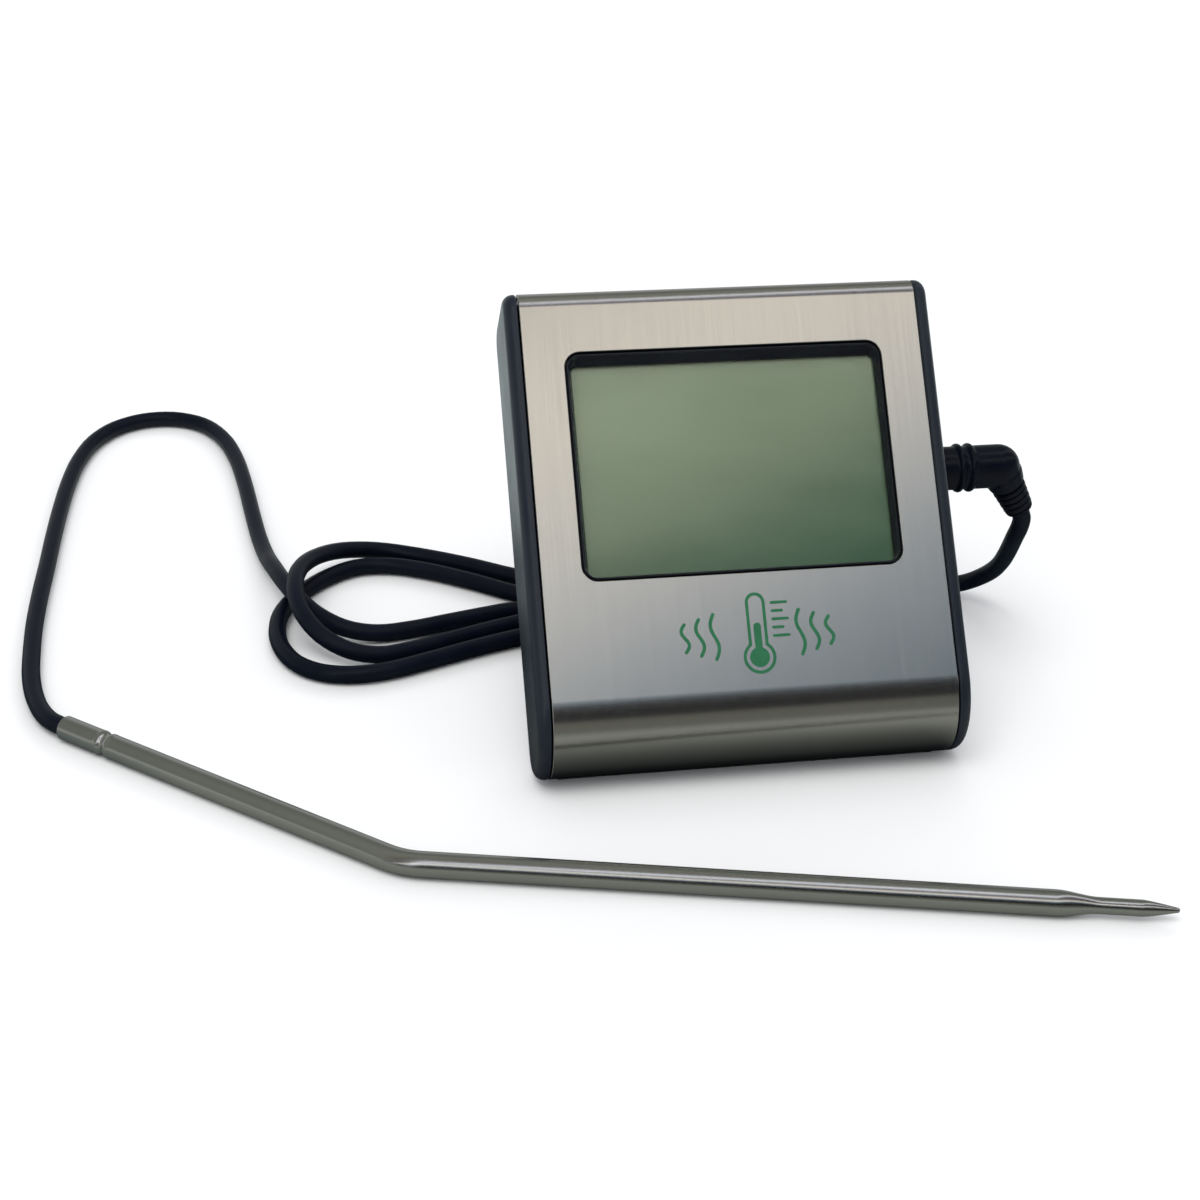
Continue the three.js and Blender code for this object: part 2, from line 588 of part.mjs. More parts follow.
function addPlug(root) {
  const plugStart = UNIT_HALF + GAP;
  const barrel = turnedX([
    [plugStart, 0], [plugStart, 3.6], [plugStart + 0.5, PLUG_R], [42.7, PLUG_R],
    [42.9, 4.5], [43.9, 4.5], [44.1, PLUG_R], [44.8, PLUG_R], [45.0, 4.5], [46.0, 4.5],
    [46.2, PLUG_R], [ELBOW_X, PLUG_R - 0.1], [ELBOW_X, 0],
  ], 20);
  const elbow = new THREE.SphereGeometry(PLUG_R - 0.1, 20, 12).translate(ELBOW_X, 0, 0);
  const neck = turnedX([[0, 0], [0, PLUG_R - 0.2], [ELBOW_LENGTH, 3.2], [ELBOW_LENGTH, 0]], 20)
    .rotateY(ELBOW_TURN).translate(ELBOW_X, 0, 0);
  const pinSeat = barX(PLUG_PIN_R + GAP, 0, 0, plugStart - 1, plugStart + 5.3, 20);
  const body = cut(join(barrel, elbow, neck), pinSeat).translate(0, JACK.y, JACK.z);
  add(root, 'plug_body', body, rubber);

  const pin = turnedX([
    [27.4, 0], [28.2, 0.9], [29.0, 0.75], [30.0, PLUG_PIN_R], [plugStart + 5, PLUG_PIN_R],
    [plugStart + 5, 0],
  ], 20).translate(0, JACK.y, JACK.z);
  add(root, 'plug_pin', pin, nickel);

  const ribs = [[0, 0], [0, 3.1]];
  const pitch = 1.3;
  for (let k = 0; k < 4; k += 1) {
    const at = k * pitch;
    const r = 3.1 - 0.12 * k;
    ribs.push([at + 0.75, r], [at + 0.85, r - 0.45], [at + 1.15, r - 0.45], [at + 1.3, r - 0.1]);
  }
  ribs.push([RELIEF_LENGTH, 2.5], [RELIEF_LENGTH, 0]);
  const relief = turnedX(ribs, 20).rotateY(ELBOW_TURN);
  const start = RELIEF_WAY.clone().multiplyScalar(ELBOW_LENGTH + GAP);
  relief.translate(ELBOW_X + start.x, JACK.y, JACK.z + start.z);
  add(root, 'plug_strain_relief', relief, rubber);
}

// Route of the lead from the plug's relief down to the table and over to the hank.
const reliefEnd = RELIEF_WAY.clone().multiplyScalar(ELBOW_LENGTH + RELIEF_LENGTH + 2 * GAP);
const PLUG_LEAD_ROUTE = [
  [ELBOW_X + reliefEnd.x, JACK.y, JACK.z + reliefEnd.z],
  [57.8, 28.6, 30.6], [58.5, 29.7, 28.0], [59.3, 31.8, 25.0], [60.3, 34.8, 21.6],
  [61.3, 38.5, 17.8], [62.0, 42.5, 13.8], [61.9, 46.5, 10.0], [60.8, 50.0, 6.8],
  [58.5, 52.8, 4.2], [55.2, 54.6, 2.6], [51.2, 55.5, 2.0], [46.8, 55.9, 2.1],
  [41.0, 56.0, 3.1], [34.8, 56.1, 4.8],
];

// Route of the lead from the hank, round a wide open bend on the table, to the probe.
const PROBE_LEAD_ROUTE = [
  [-80.3, 73.5, 4.2], [-81.5, 80.5, 2.8], [-82.8, 90.0, 2.0], [-84.0, 102.5, 1.8],
  [-85.2, 116.0, 1.8], [-87.0, 129.6, 1.8], [-89.8, 140.0, 1.8], [-94.2, 147.2, 1.8],
  [-100.4, 150.8, 1.8], [-107.4, 150.7, 1.8], [-113.6, 147.2, 1.8], [-118.3, 140.4, 1.8],
  [-121.2, 131.0, 1.8], [-122.9, 120.0, 1.8], [-124.0, 108.0, 1.8], [-124.8, 96.0, 1.8],
  [-125.4, 84.0, 1.8], [-126.1, 72.0, 1.8], [-126.5, 60.0, 1.8], [-126.4, 50.0, 1.8],
  [-126.0, 41.8, 1.8], [-125.0, 35.0, 1.8], [-123.4, 29.4, 1.9], [-121.4, 25.6, 2.1],
  [-119.25, 23.35, 2.2],
];

function cordTube(route) {
  const curve = new THREE.CatmullRomCurve3(
    route.map(([x, y, z]) => new THREE.Vector3(x, y, z)), false, 'centripetal',
  );
  const section = new THREE.Shape();
  section.absarc(0, 0, CORD_R, 0, Math.PI * 2, false);
  return new THREE.ExtrudeGeometry(section, {
    steps: Math.round(curve.getLength() / CORD_STEP),
    extrudePath: curve,
    bevelEnabled: false,
    curveSegments: CORD_SIDES / 2,
  });
}

function addLead(root) {
  add(root, 'plug_lead', cordTube(PLUG_LEAD_ROUTE), cordRubber);
  add(root, 'probe_lead', cordTube(PROBE_LEAD_ROUTE), cordRubber);

  // the loosely looped length, tied behind the unit
  const hank = new THREE.Shape();
  hank.moveTo(-75.5, 33.6);
  hank.quadraticCurveTo(-71.5, 32.4, -64.0, 32.6);
  hank.lineTo(18.0, 41.4);
  hank.quadraticCurveTo(34.2, 42.6, 34.2, 53.0);
  hank.lineTo(34.2, 61.0);
  hank.quadraticCurveTo(34.2, 71.4, 22.0, 71.8);
  hank.lineTo(-54.0, 83.6);
  hank.quadraticCurveTo(-62.0, 84.8, -67.5, 81.6);
  hank.lineTo(-77.0, 72.9);
  hank.lineTo(-82.8, 72.9);
  hank.lineTo(-82.8, 46.0);
  hank.quadraticCurveTo(-82.4, 36.0, -75.5, 33.6);
  const plate = new THREE.ExtrudeGeometry(hank, {
    depth: 10.5, bevelEnabled: false, curveSegments: 5,
  });
  add(root, 'cord_hank', plate, cordRubber);
}

// The probe is built along x from the cord end, then laid on the table at its heading.
function addProbe(root) {
  const probe = new THREE.Group();
  probe.position.copy(PROBE_START);
  probe.rotation.z = PROBE_HEADING;
  root.add(probe);

  const tangent = PROBE_BEND_R * Math.tan(PROBE_TURN / 2);
  const way = new THREE.Vector3(Math.cos(PROBE_TURN), Math.sin(PROBE_TURN), 0);
  const corner = new THREE.Vector3(HANDLE_LENGTH, 0, 0);
  const bendEnd = corner.clone().addScaledVector(way, tangent);
  const shaftEnd = corner.clone().addScaledVector(way, SHAFT_LENGTH);
  const tipStart = corner.clone().addScaledVector(way, SHAFT_LENGTH + GAP);

  class BentLine extends THREE.Curve {
    constructor(from, to) {
      super();
      this.from = from;
      this.to = to;
      this.first = HANDLE_LENGTH - tangent;
      this.arc = PROBE_BEND_R * PROBE_TURN;
    }

    getPoint(t, target = new THREE.Vector3()) {
      const s = this.from + (this.to - this.from) * t;
      if (s <= this.first) {
        return target.set(s, 0, 0);
      }
      if (s <= this.first + this.arc) {
        const turn = (s - this.first) / PROBE_BEND_R;
        const x = this.first + PROBE_BEND_R * Math.sin(turn);
        return target.set(x, PROBE_BEND_R * (1 - Math.cos(turn)), 0);
      }
      return target.copy(bendEnd).addScaledVector(way, s - this.first - this.arc);
    }
  }
  const total = HANDLE_LENGTH - tangent + PROBE_BEND_R * PROBE_TURN + SHAFT_LENGTH - tangent;

  const ring = new THREE.Shape();
  ring.absarc(0, 0, PROBE_R, 0, Math.PI * 2, false);
  const bore = new THREE.Path();
  bore.absarc(0, 0, PROBE_BORE, 0, Math.PI * 2, true);
  ring.holes.push(bore);
  const tube = new THREE.ExtrudeGeometry(ring, {
    steps: 48, extrudePath: new BentLine(0, total), bevelEnabled: false, curveSegments: 7,
  });
  const crimp = turnedX([
    [9.0, 2.02], [9.0, 3], [10.8, 3], [10.8, 2.02], [10.3, 1.95], [9.5, 1.95], [9.0, 2.02],
  ], 14);
  add(probe, 'probe_tube', cut(tube, crimp), brightSteel);
  add(probe, 'probe_seal', barX(PROBE_BORE - GAP, 0, 0, 0.4, 7, 16), rubber);

  const wire = new THREE.Shape();
  wire.absarc(0, 0, 0.5, 0, Math.PI * 2, false);
  add(probe, 'sensor_wires', new THREE.ExtrudeGeometry(wire, {
    steps: 45, extrudePath: new BentLine(7.5, total - 1), bevelEnabled: false, curveSegments: 3,
  }), ceramicGrey);

  const tipProfile = [
    [13, 0], [13, 0.8], [0, 0.8], [0, PROBE_R], [0.8, PROBE_R - 0.05], [2.6, 2.0], [5.4, 1.62],
    [TIP_TAPER, TIP_R + 0.04], [TIP_NEEDLE, TIP_R], [TIP_LENGTH - 0.5, 0.22], [TIP_LENGTH, 0],
  ];
  const tip = turnedX(tipProfile, 24).rotateZ(PROBE_TURN);
  add(probe, 'probe_tip', tip.translate(tipStart.x, tipStart.y, 0), brightSteel);
  const bead = ellipsoid(0.48, 2.2).rotateZ(PROBE_TURN);
  const beadAt = shaftEnd.clone().addScaledVector(way, 10.5);
  add(probe, 'thermistor_bead', bead.translate(beadAt.x, beadAt.y, 0), ceramicGrey);
}

// ---------------------------------------------------------------- assembly

const thermometer = new THREE.Group();

const unit = new THREE.Group();
unit.position.set(0, UNIT_Y, UNIT_Z);
unit.rotation.x = -LEAN;
thermometer.add(unit);

addShell(unit);
addRearCover(unit);
addDisplay(unit);
addBattery(unit);
addControls(unit);
addStand(unit);

const strip = block(-STRIP.x, STRIP.x, -STRIP.y, STRIP.y, 0, STRIP.height);
add(thermometer, 'base_foot_strip', strip, rubber);

addPlug(thermometer);
addLead(thermometer);
addProbe(thermometer);

export default thermometer;
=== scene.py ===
import json
import math

import bmesh
import bpy
from mathutils import Matrix, Vector


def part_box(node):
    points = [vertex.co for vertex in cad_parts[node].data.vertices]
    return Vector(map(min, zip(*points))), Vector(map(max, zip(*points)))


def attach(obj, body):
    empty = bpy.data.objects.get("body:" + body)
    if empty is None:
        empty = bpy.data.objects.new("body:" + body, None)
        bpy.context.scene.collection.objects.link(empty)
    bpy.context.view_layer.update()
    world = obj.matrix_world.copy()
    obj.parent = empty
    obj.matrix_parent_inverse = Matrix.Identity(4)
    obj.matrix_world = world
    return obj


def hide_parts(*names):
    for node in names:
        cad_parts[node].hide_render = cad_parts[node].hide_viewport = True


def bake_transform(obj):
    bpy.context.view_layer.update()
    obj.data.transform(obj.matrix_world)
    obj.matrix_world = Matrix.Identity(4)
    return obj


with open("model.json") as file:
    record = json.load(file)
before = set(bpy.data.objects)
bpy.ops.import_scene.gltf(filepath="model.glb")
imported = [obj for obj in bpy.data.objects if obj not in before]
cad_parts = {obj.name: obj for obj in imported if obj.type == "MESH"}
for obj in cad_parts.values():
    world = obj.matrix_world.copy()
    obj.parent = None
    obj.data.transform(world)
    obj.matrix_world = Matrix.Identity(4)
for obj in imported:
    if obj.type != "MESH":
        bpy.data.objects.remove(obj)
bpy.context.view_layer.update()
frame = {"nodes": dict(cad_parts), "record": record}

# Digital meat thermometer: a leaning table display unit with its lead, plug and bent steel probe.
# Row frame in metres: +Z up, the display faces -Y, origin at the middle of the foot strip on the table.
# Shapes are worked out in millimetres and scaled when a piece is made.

MM = 0.001
MICRON = 0.000001
NODES = frame["nodes"]
MOUNTS = {mount["name"]: mount for mount in frame["record"]["mounts"]}
ROW_MM = Matrix.Scale(MM, 4)
SQUARE = ((-1, -1), (1, -1), (1, 1), (-1, 1))
X_WAY = Vector((1, 0, 0))
Y_WAY = Vector((0, 1, 0))


def add_object(name, data):
    obj = bpy.data.objects.new(name, data)
    bpy.context.scene.collection.objects.link(obj)
    return obj


# ---- camera

CAMERA_PLACE = Vector((-83.3, -299.05, 211.8)) * MM
CAMERA_TURN = math.radians(-10.605)      # to the right of straight ahead
CAMERA_DOWN = math.radians(30.11)
CAMERA_ROLL = math.radians(1.88)
CAMERA_LENS = 63.0
SENSOR = 36.0


def make_camera():
    data = bpy.data.cameras.new("camera")
    data.lens = CAMERA_LENS
    data.sensor_width = SENSOR
    data.clip_start = 0.01
    camera = add_object("camera", data)
    turn = Matrix.Rotation(CAMERA_TURN, 4, "Z")
    tilt = Matrix.Rotation(math.pi / 2 - CAMERA_DOWN, 4, "X")
    roll = Matrix.Rotation(CAMERA_ROLL, 4, "Z")
    camera.matrix_world = Matrix.Translation(CAMERA_PLACE) @ turn @ tilt @ roll
    bpy.context.scene.camera = camera


make_camera()

# ---- route of the cord

CORD_D = 3.4
CORD_REST = 1.8                          # height of its middle where it lies on the table

# Points that the cord passes. One that gives no height is at CORD_REST.
# from the plug's relief down to the table and along to the tie behind the unit
PLUG_STRETCH = [
    (56.8, 28.3, 32.6),
    (57.6, 28.7, 30.6), (57.9, 29.9, 28.0), (58.2, 32.0, 25.0), (58.9, 34.9, 21.6),
    (59.7, 38.4, 17.6), (60.4, 42.2, 13.5), (60.5, 46.0, 9.6), (59.5, 49.3, 6.3),
    (57.4, 51.9, 3.7), (54.3, 53.7, 2.2), (50.6, 54.9), (46.6, 55.6, 2.0),
    (41.0, 56.0, 3.1), (34.8, 56.1, 4.8),
]
# the tied loops: out to the left of the unit, back to a small loop end behind it, and round again
LOOPED_STRETCH = [
    (32, 56.2, 5.1), (21, 56.8, 5.1), (11, 56.5, 4.5), (1, 56, 5.3), (-8, 55.2, 5.7),
    (-13, 57, 5.3), (-19, 60, 4), (-25.5, 63.8, 2.5),
    (-32.2, 68.3), (-41.2, 74.1), (-50.8, 79.3), (-59.2, 81.2, 2.6),
    (-66.5, 78.6, 4.4), (-72.2, 72.3, 6.6), (-75.6, 64.5, 8.2), (-76.6, 56.5, 8.5),
    (-75.6, 49.3, 7.4), (-72.3, 43.9, 5.4), (-67.4, 41.2, 3.4), (-61.6, 41, 2.1),
    (-55.6, 42.6), (-48.3, 45.1), (-40.4, 48), (-33.9, 50.1),
    (-26, 50.6, 3), (-17, 51.2, 4.6), (-8, 51.6, 5.7),
    (-1, 50.4, 4.6), (6, 48.9, 2.4), (13, 48.3), (18.8, 50.4), (22.3, 55.4),
    (22.2, 61.7), (18.9, 67.1), (12.8, 69.6), (5.4, 68), (-1, 63.4),
    (-8, 57, 2.6), (-17, 57.2), (-26, 58.2),
    (-33.5, 62.0), (-40.7, 67.2), (-49.6, 72.8), (-57, 75.8),
    (-63.6, 75.9), (-69.6, 72.6), (-75, 67.0), (-79, 60.4),
    (-80.5, 53.2), (-79.8, 45.8), (-77, 39.9), (-72.7, 36.4),
    (-67, 35), (-60.4, 35.7), (-52.8, 38.3), (-43, 42),
    (-34.2, 44.8), (-26, 46.8), (-17, 48.9), (-8, 49.8, 2.6),
    (0, 47.6, 1.9), (9, 44.8), (18, 43.8), (26, 46.4), (31.2, 52.4),
    (32, 59.6), (28.6, 66, 2.2), (22, 69.2, 4.4), (14.5, 68, 5.1), (7.5, 63, 3.2),
    (1, 57.6), (-8, 53.4, 2.6),
    (-15, 53.6, 1.9), (-24, 54.2), (-34, 55), (-40, 53.8), (-47.4, 52),
    (-54.6, 50.2), (-61.6, 49.2, 2), (-67.6, 50.2, 2.9), (-72.6, 53.7, 4.2),
    (-76.2, 59.4, 5.1), (-78.6, 66, 5.1),
]
# from the loops, round a wide open bend on the table, to the probe
PROBE_STRETCH = [
    (-80.3, 73.5, 4.2), (-81.5, 80.5, 2.8), (-82.8, 90.0, 2.0), (-84.0, 102.5),
    (-85.2, 116.0), (-87.0, 129.6), (-89.8, 140.0), (-94.2, 147.2),
    (-100.4, 150.8), (-107.4, 150.7), (-113.6, 147.2), (-118.3, 140.4),
    (-121.2, 131.0), (-122.9, 120.0), (-124.0, 108.0), (-124.8, 96.0),
    (-125.4, 84.0), (-126.1, 72.0), (-126.5, 60.0), (-126.4, 50.0),
    (-126.0, 41.8), (-125.0, 35.0), (-123.4, 29.4, 1.9), (-121.4, 25.6, 2.1),
    (-119.25, 23.35, 2.2), (-118.78, 22.91, 2.2),
]


def smooth_line(points, per_span):
    """A centripetal Catmull-Rom line through the points, with per_span steps between neighbours."""
    def mix(a, b, at_a, at_b, t):
        return a * ((at_b - t) / (at_b - at_a)) + b * ((t - at_a) / (at_b - at_a))

    points = [Vector((*p, CORD_REST)[:3]) for p in points]
    line = []
    for i in range(len(points) - 1):
        p1, p2 = points[i], points[i + 1]
        p0 = points[i - 1] if i else p1 * 2 - p2
        p3 = points[i + 2] if i + 2 < len(points) else p2 * 2 - p1
        t1 = (p1 - p0).length ** 0.5
        t2 = t1 + (p2 - p1).length ** 0.5
        t3 = t2 + (p3 - p2).length ** 0.5
        for k in range(per_span):
            t = t1 + (t2 - t1) * k / per_span
            before, at, after = mix(p0, p1, 0.0, t1, t), mix(p1, p2, t1, t2, t), mix(p2, p3, t2, t3, t)
            first, last = mix(before, at, 0.0, t2, t), mix(at, after, t1, t3, t)
            line.append(mix(first, last, t1, t2, t))
    line.append(points[-1].copy())
    return line


def line_length(points):
    return sum((b - a).length for a, b in zip(points, points[1:]))


def make_cord():
    """The lead's round tube and the line down its middle."""
    line = smooth_line(PLUG_STRETCH + LOOPED_STRETCH + PROBE_STRETCH, 4)
    data = bpy.data.curves.new("lead_cord", "CURVE")
    data.dimensions = "3D"
    data.bevel_depth = CORD_D * MM / 2
    data.bevel_resolution = 5
    data.use_fill_caps = True
    spline = data.splines.new("POLY")
    spline.points.add(len(line) - 1)
    for point, place in zip(spline.points, line):
        point.co = (*(place * MM), 1.0)
    spline.use_smooth = True
    curve = add_object("cord_route", data)
    shaped = curve.evaluated_get(bpy.context.evaluated_depsgraph_get())
    mesh = bpy.data.meshes.new_from_object(shaped)
    bpy.data.objects.remove(curve)
    bpy.data.curves.remove(data)
    return add_object("lead_cord", mesh), line


cord, cord_line = make_cord()

# ---- materials


class Tree:
    """Short calls for the nodes of one node tree."""

    def __init__(self, tree):
        self.tree = tree

    def new(self, kind, **values):
        node = self.tree.nodes.new(kind)
        for key, value in values.items():
            setattr(node, key, value)
        return node

    def link(self, source, target):
        self.tree.links.new(source, target)

    def feed(self, node, places, values):
        """Each value is a link, a number or a colour, and goes into that input of the node."""
        for place, value in zip(places, values):
            socket = node.inputs[place]
            if isinstance(value, bpy.types.NodeSocket):
                self.link(value, socket)
            else:
                socket.default_value = (*value, 1.0) if isinstance(value, tuple) else value

    def split(self, vector):
        node = self.new("ShaderNodeSeparateXYZ")
        self.link(vector, node.inputs["Vector"])
        return node.outputs

    def math(self, operation, *values):
        node = self.new("ShaderNodeMath", operation=operation)
        self.feed(node, range(len(values)), values)
        return node.outputs["Value"]

    def times(self, first, second):
        return self.math("MULTIPLY", first, second)

    def add(self, first, second):
        return self.math("ADD", first, second)

    def blend(self, factor, first, second, mode="MIX"):
        """Two colours mixed by a factor."""
        node = self.new("ShaderNodeMix", data_type="RGBA", blend_type=mode)
        self.feed(node, (0, 6, 7), (factor, first, second))
        return node.outputs[2]

    def to_range(self, source, low, high, new_low, new_high):
        node = self.new("ShaderNodeMapRange", clamp=True)
        sockets = ("Value", "From Min", "From Max", "To Min", "To Max")
        self.feed(node, sockets, (source, low, high, new_low, new_high))
        return node.outputs["Result"]


class Nodes(Tree):
    """A material's nodes."""

    def __init__(self, name):
        self.material = bpy.data.materials.new(name)
        self.material.use_nodes = True
        super().__init__(self.material.node_tree)
        self.shader = self.tree.nodes["Principled BSDF"]
        self.place = self.new("ShaderNodeTexCoord").outputs["Object"]

    def shade(self, **values):
        """Inputs of the shader, with their spaces written as underscores."""
        self.feed(self.shader, [key.replace("_", " ") for key in values], values.values())

    def mapped(self, scale, source=None):
        """The place scaled, in 1/m, by one number or by three."""
        node = self.new("ShaderNodeMapping", vector_type="POINT")
        node.inputs["Scale"].default_value = scale if isinstance(scale, tuple) else (scale,) * 3
        self.link(source or self.place, node.inputs["Vector"])
        return node.outputs["Vector"]

    def noise(self, scale, detail, roughness, distortion=0.0, source=None):
        node = self.new("ShaderNodeTexNoise")
        sockets = ("Vector", "Scale", "Detail", "Roughness", "Distortion")
        self.feed(node, sockets, (self.mapped(scale, source), 1.0, detail, roughness, distortion))
        return node.outputs["Fac"]

    def bump(self, *heights):
        """Each height is a link and its depth in metres; they are stacked into one normal."""
        normal = None
        for source, depth in heights:
            node = self.new("ShaderNodeBump")
            self.feed(node, ("Strength", "Distance", "Height"), (1.0, depth, source))
            if normal:
                self.link(normal, node.inputs["Normal"])
            normal = node.outputs["Normal"]
        self.link(normal, self.shader.inputs["Normal"])

    def edge_wear(self):
        """1 on convex edges and 0 elsewhere, from the bevelled normal."""
        bevel = self.new("ShaderNodeBevel", samples=4)
        bevel.inputs["Radius"].default_value = 0.4 * MM
        plain = self.new("ShaderNodeNewGeometry")
        dot = self.new("ShaderNodeVectorMath", operation="DOT_PRODUCT")
        self.link(bevel.outputs["Normal"], dot.inputs[0])
        self.link(plain.outputs["Normal"], dot.inputs[1])
        return self.to_range(dot.outputs["Value"], 0.98, 0.75, 0.0, 1.0)


def brushed_steel(name, tint, tint_worn, roughness, grain, anisotropic, depth):
    """Steel brushed along the V direction of the piece's grain map, one unit of it being a metre."""
    m = Nodes(name)
    grain_map = m.new("ShaderNodeUVMap", uv_map="grain").outputs["UV"]
    fine = m.noise((grain, grain / 250, 1.0), 3.0, 0.65, source=grain_map)
    streaks = m.noise((grain / 12, grain / 900, 1.0), 3.0, 0.6, source=grain_map)
    cloud = m.noise((60.0, 38.0, 1.0), 4.0, 0.6, 0.4, grain_map)
    shade = tint
    for pattern, low, high, share in (
        (streaks, 0.3, 0.7, 0.2), (fine, 0.3, 0.7, 0.1), (cloud, 0.45, 0.75, 0.25)
    ):
        shade = m.blend(m.to_range(pattern, low, high, 0.0, share), shade, tint_worn)
    spread = m.to_range(fine, 0.25, 0.75, roughness - 0.03, roughness + 0.04)
    tangent = m.new("ShaderNodeTangent", direction_type="UV_MAP", uv_map="grain").outputs["Tangent"]
    m.shade(
        Base_Color=shade, Metallic=1.0, Anisotropic=anisotropic, Roughness=spread, Tangent=tangent
    )
    m.bump((fine, depth))
    return m.material


PAINTED_SHEEN_LOW, PAINTED_SHEEN_HIGH = 0.016, 0.05        # heights between which the painted sheen on the caps fades in
# colour of that painted sheen
PAINTED_SHEEN_TINT = (0.62, 0.74, 0.74)


def moulded_plastic(name, color, color_worn, roughness, grain, depth, wear=0.5, sheen=0.0, specular=0.5):
    """Plastic with the fine grain of its mould, a little rubbed on its edges.

    A sheen is painted light: it is strongest on the upper half of the piece and fades out lower down.
    """
    m = Nodes(name)
    fine = m.noise(grain, 3.0, 0.6)
    cloud = m.noise(90.0, 4.0, 0.6)
    worn = m.times(m.edge_wear(), m.to_range(cloud, 0.4, 0.7, 0.2 * wear, wear))
    bare = tuple(min(1.0, c * 2.2 + 0.012) for c in color_worn)
    shade = m.blend(m.to_range(cloud, 0.35, 0.7, 0.0, 0.35), color, color_worn)
    spread = m.to_range(cloud, 0.3, 0.75, roughness - 0.06, roughness + 0.08)
    m.shade(
        Base_Color=m.blend(worn, shade, bare), Roughness=spread, IOR=1.5, Specular_IOR_Level=specular
    )
    if sheen:
        # painted sheen: its weight grows with height, so the upper part looks more lit
        painted_sheen = m.to_range(m.split(m.place)["Z"], PAINTED_SHEEN_LOW, PAINTED_SHEEN_HIGH, 0.0, sheen)
        m.shade(Sheen_Weight=painted_sheen, Sheen_Roughness=0.35, Sheen_Tint=PAINTED_SHEEN_TINT)
    m.bump((fine, depth))
    return m.material


def plated_metal(name, color, roughness, grain=900.0):
    """Bright plating with duller clouds."""
    m = Nodes(name)
    fine = m.noise(grain, 4.0, 0.6)
    cloud = m.noise(140.0, 3.0, 0.5)
    dull = tuple(c * 0.72 for c in color)
    m.shade(
        Base_Color=m.blend(m.to_range(cloud, 0.4, 0.75, 0.0, 0.7), color, dull), Metallic=1.0,
        Roughness=m.to_range(fine, 0.3, 0.7, roughness - 0.06, roughness + 0.1),
    )
    m.bump((fine, 4 * MICRON))
    return m.material


def cord_rubber():
    """The lead's satin sheath, with a fine pebble and a little dust."""
    m = Nodes("cord_rubber")
    fine = m.noise(2600.0, 2.0, 0.5)
    cloud = m.noise(70.0, 4.0, 0.6)
    dusty = m.noise(420.0, 3.0, 0.7)
    clouds = m.to_range(cloud, 0.35, 0.7, 0.0, 0.8)
    shade = m.blend(clouds, (0.002, 0.0035, 0.009), (0.005, 0.007, 0.015))
    shade = m.blend(m.to_range(dusty, 0.62, 0.8, 0.0, 0.2), shade, (0.025, 0.03, 0.035))
    spread = m.to_range(cloud, 0.3, 0.7, 0.3, 0.42)
    m.shade(Base_Color=shade, Roughness=spread, IOR=1.4, Specular_IOR_Level=0.3)
    m.bump((fine, 5 * MICRON), (dusty, 6 * MICRON))
    return m.material


LCD_TOP = (0.43, 0.55, 0.36)
LCD_BOTTOM = (0.06, 0.15, 0.05)
LCD_SPECK = (0.06, 0.09, 0.055)


def display_glass():
    """The blank liquid-crystal cell: grey-green, lighter at the top and darker towards the bottom and, half
    way down, towards the right, with a faint random drift of tone.
    """
    m = Nodes("lcd")
    place = m.split(m.place)
    low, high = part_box("lcd_glass")
    across = m.to_range(place["X"], low.x, high.x, 0.0, 1.0)
    down = m.to_range(place["Z"], high.z, low.z, 0.0, 1.0)
    up = m.to_range(place["Z"], high.z, low.z, 1.0, 0.0)
    side = m.times(m.times(across, 2.0), m.times(down, up))
    drift = m.to_range(m.noise((30.0, 90.0, 90.0), 2.0, 0.5), 0.3, 0.7, -0.07, 0.07)
    total = m.add(m.add(m.times(down, m.times(down, down)), side), drift)
    speck = m.to_range(m.noise(5200.0, 1.0, 0.5), 0.3, 0.7, 0.0, 0.12)
    shade = m.blend(m.to_range(total, 0.0, 1.0, 0.0, 1.0), LCD_TOP, LCD_BOTTOM)
    m.shade(
        Base_Color=m.blend(speck, shade, LCD_SPECK), Roughness=0.45, IOR=1.4, Specular_IOR_Level=0.3
    )
    return m.material


def clear_plastic():
    """The window: clear, with the faintest film of wipe marks."""
    m = Nodes("lens")
    film = m.to_range(m.noise((110.0, 40.0, 40.0), 4.0, 0.6), 0.35, 0.75, 0.03, 0.1)
    m.shade(Base_Color=(0.97, 0.985, 0.97), Roughness=film, Transmission_Weight=1.0, IOR=1.42)
    return m.material


def printed_ink():
    m = Nodes("printed_ink")
    fine = m.noise(3000.0, 2.0, 0.5)
    cloud = m.to_range(m.noise(400.0, 3.0, 0.6), 0.35, 0.7, 0.0, 0.5)
    m.shade(
        Base_Color=m.blend(cloud, (0.012, 0.125, 0.05), (0.02, 0.17, 0.07)),
        Roughness=m.to_range(fine, 0.3, 0.7, 0.38, 0.5),
    )
    m.bump((fine, 4 * MICRON))
    return m.material


def circuit_green():
    """Solder mask over faint copper tracks."""
    m = Nodes("board")
    brick = m.new("ShaderNodeTexBrick")
    m.feed(brick, ("Vector", "Scale", "Mortar Size"), (m.mapped(900.0), 1.0, 0.06))
    tracks = brick.outputs["Fac"]
    cloud = m.to_range(m.noise(200.0, 3.0, 0.6), 0.3, 0.7, 0.0, 1.0)
    shade = m.blend(cloud, (0.01, 0.09, 0.035), (0.02, 0.14, 0.055))
    shade = m.blend(m.to_range(tracks, 0.0, 1.0, 0.0, 0.5), shade, (0.04, 0.24, 0.09))
    m.shade(Base_Color=shade, Roughness=0.4, Coat_Weight=0.4, Coat_Roughness=0.2)
    m.bump((tracks, 20 * MICRON))
    return m.material


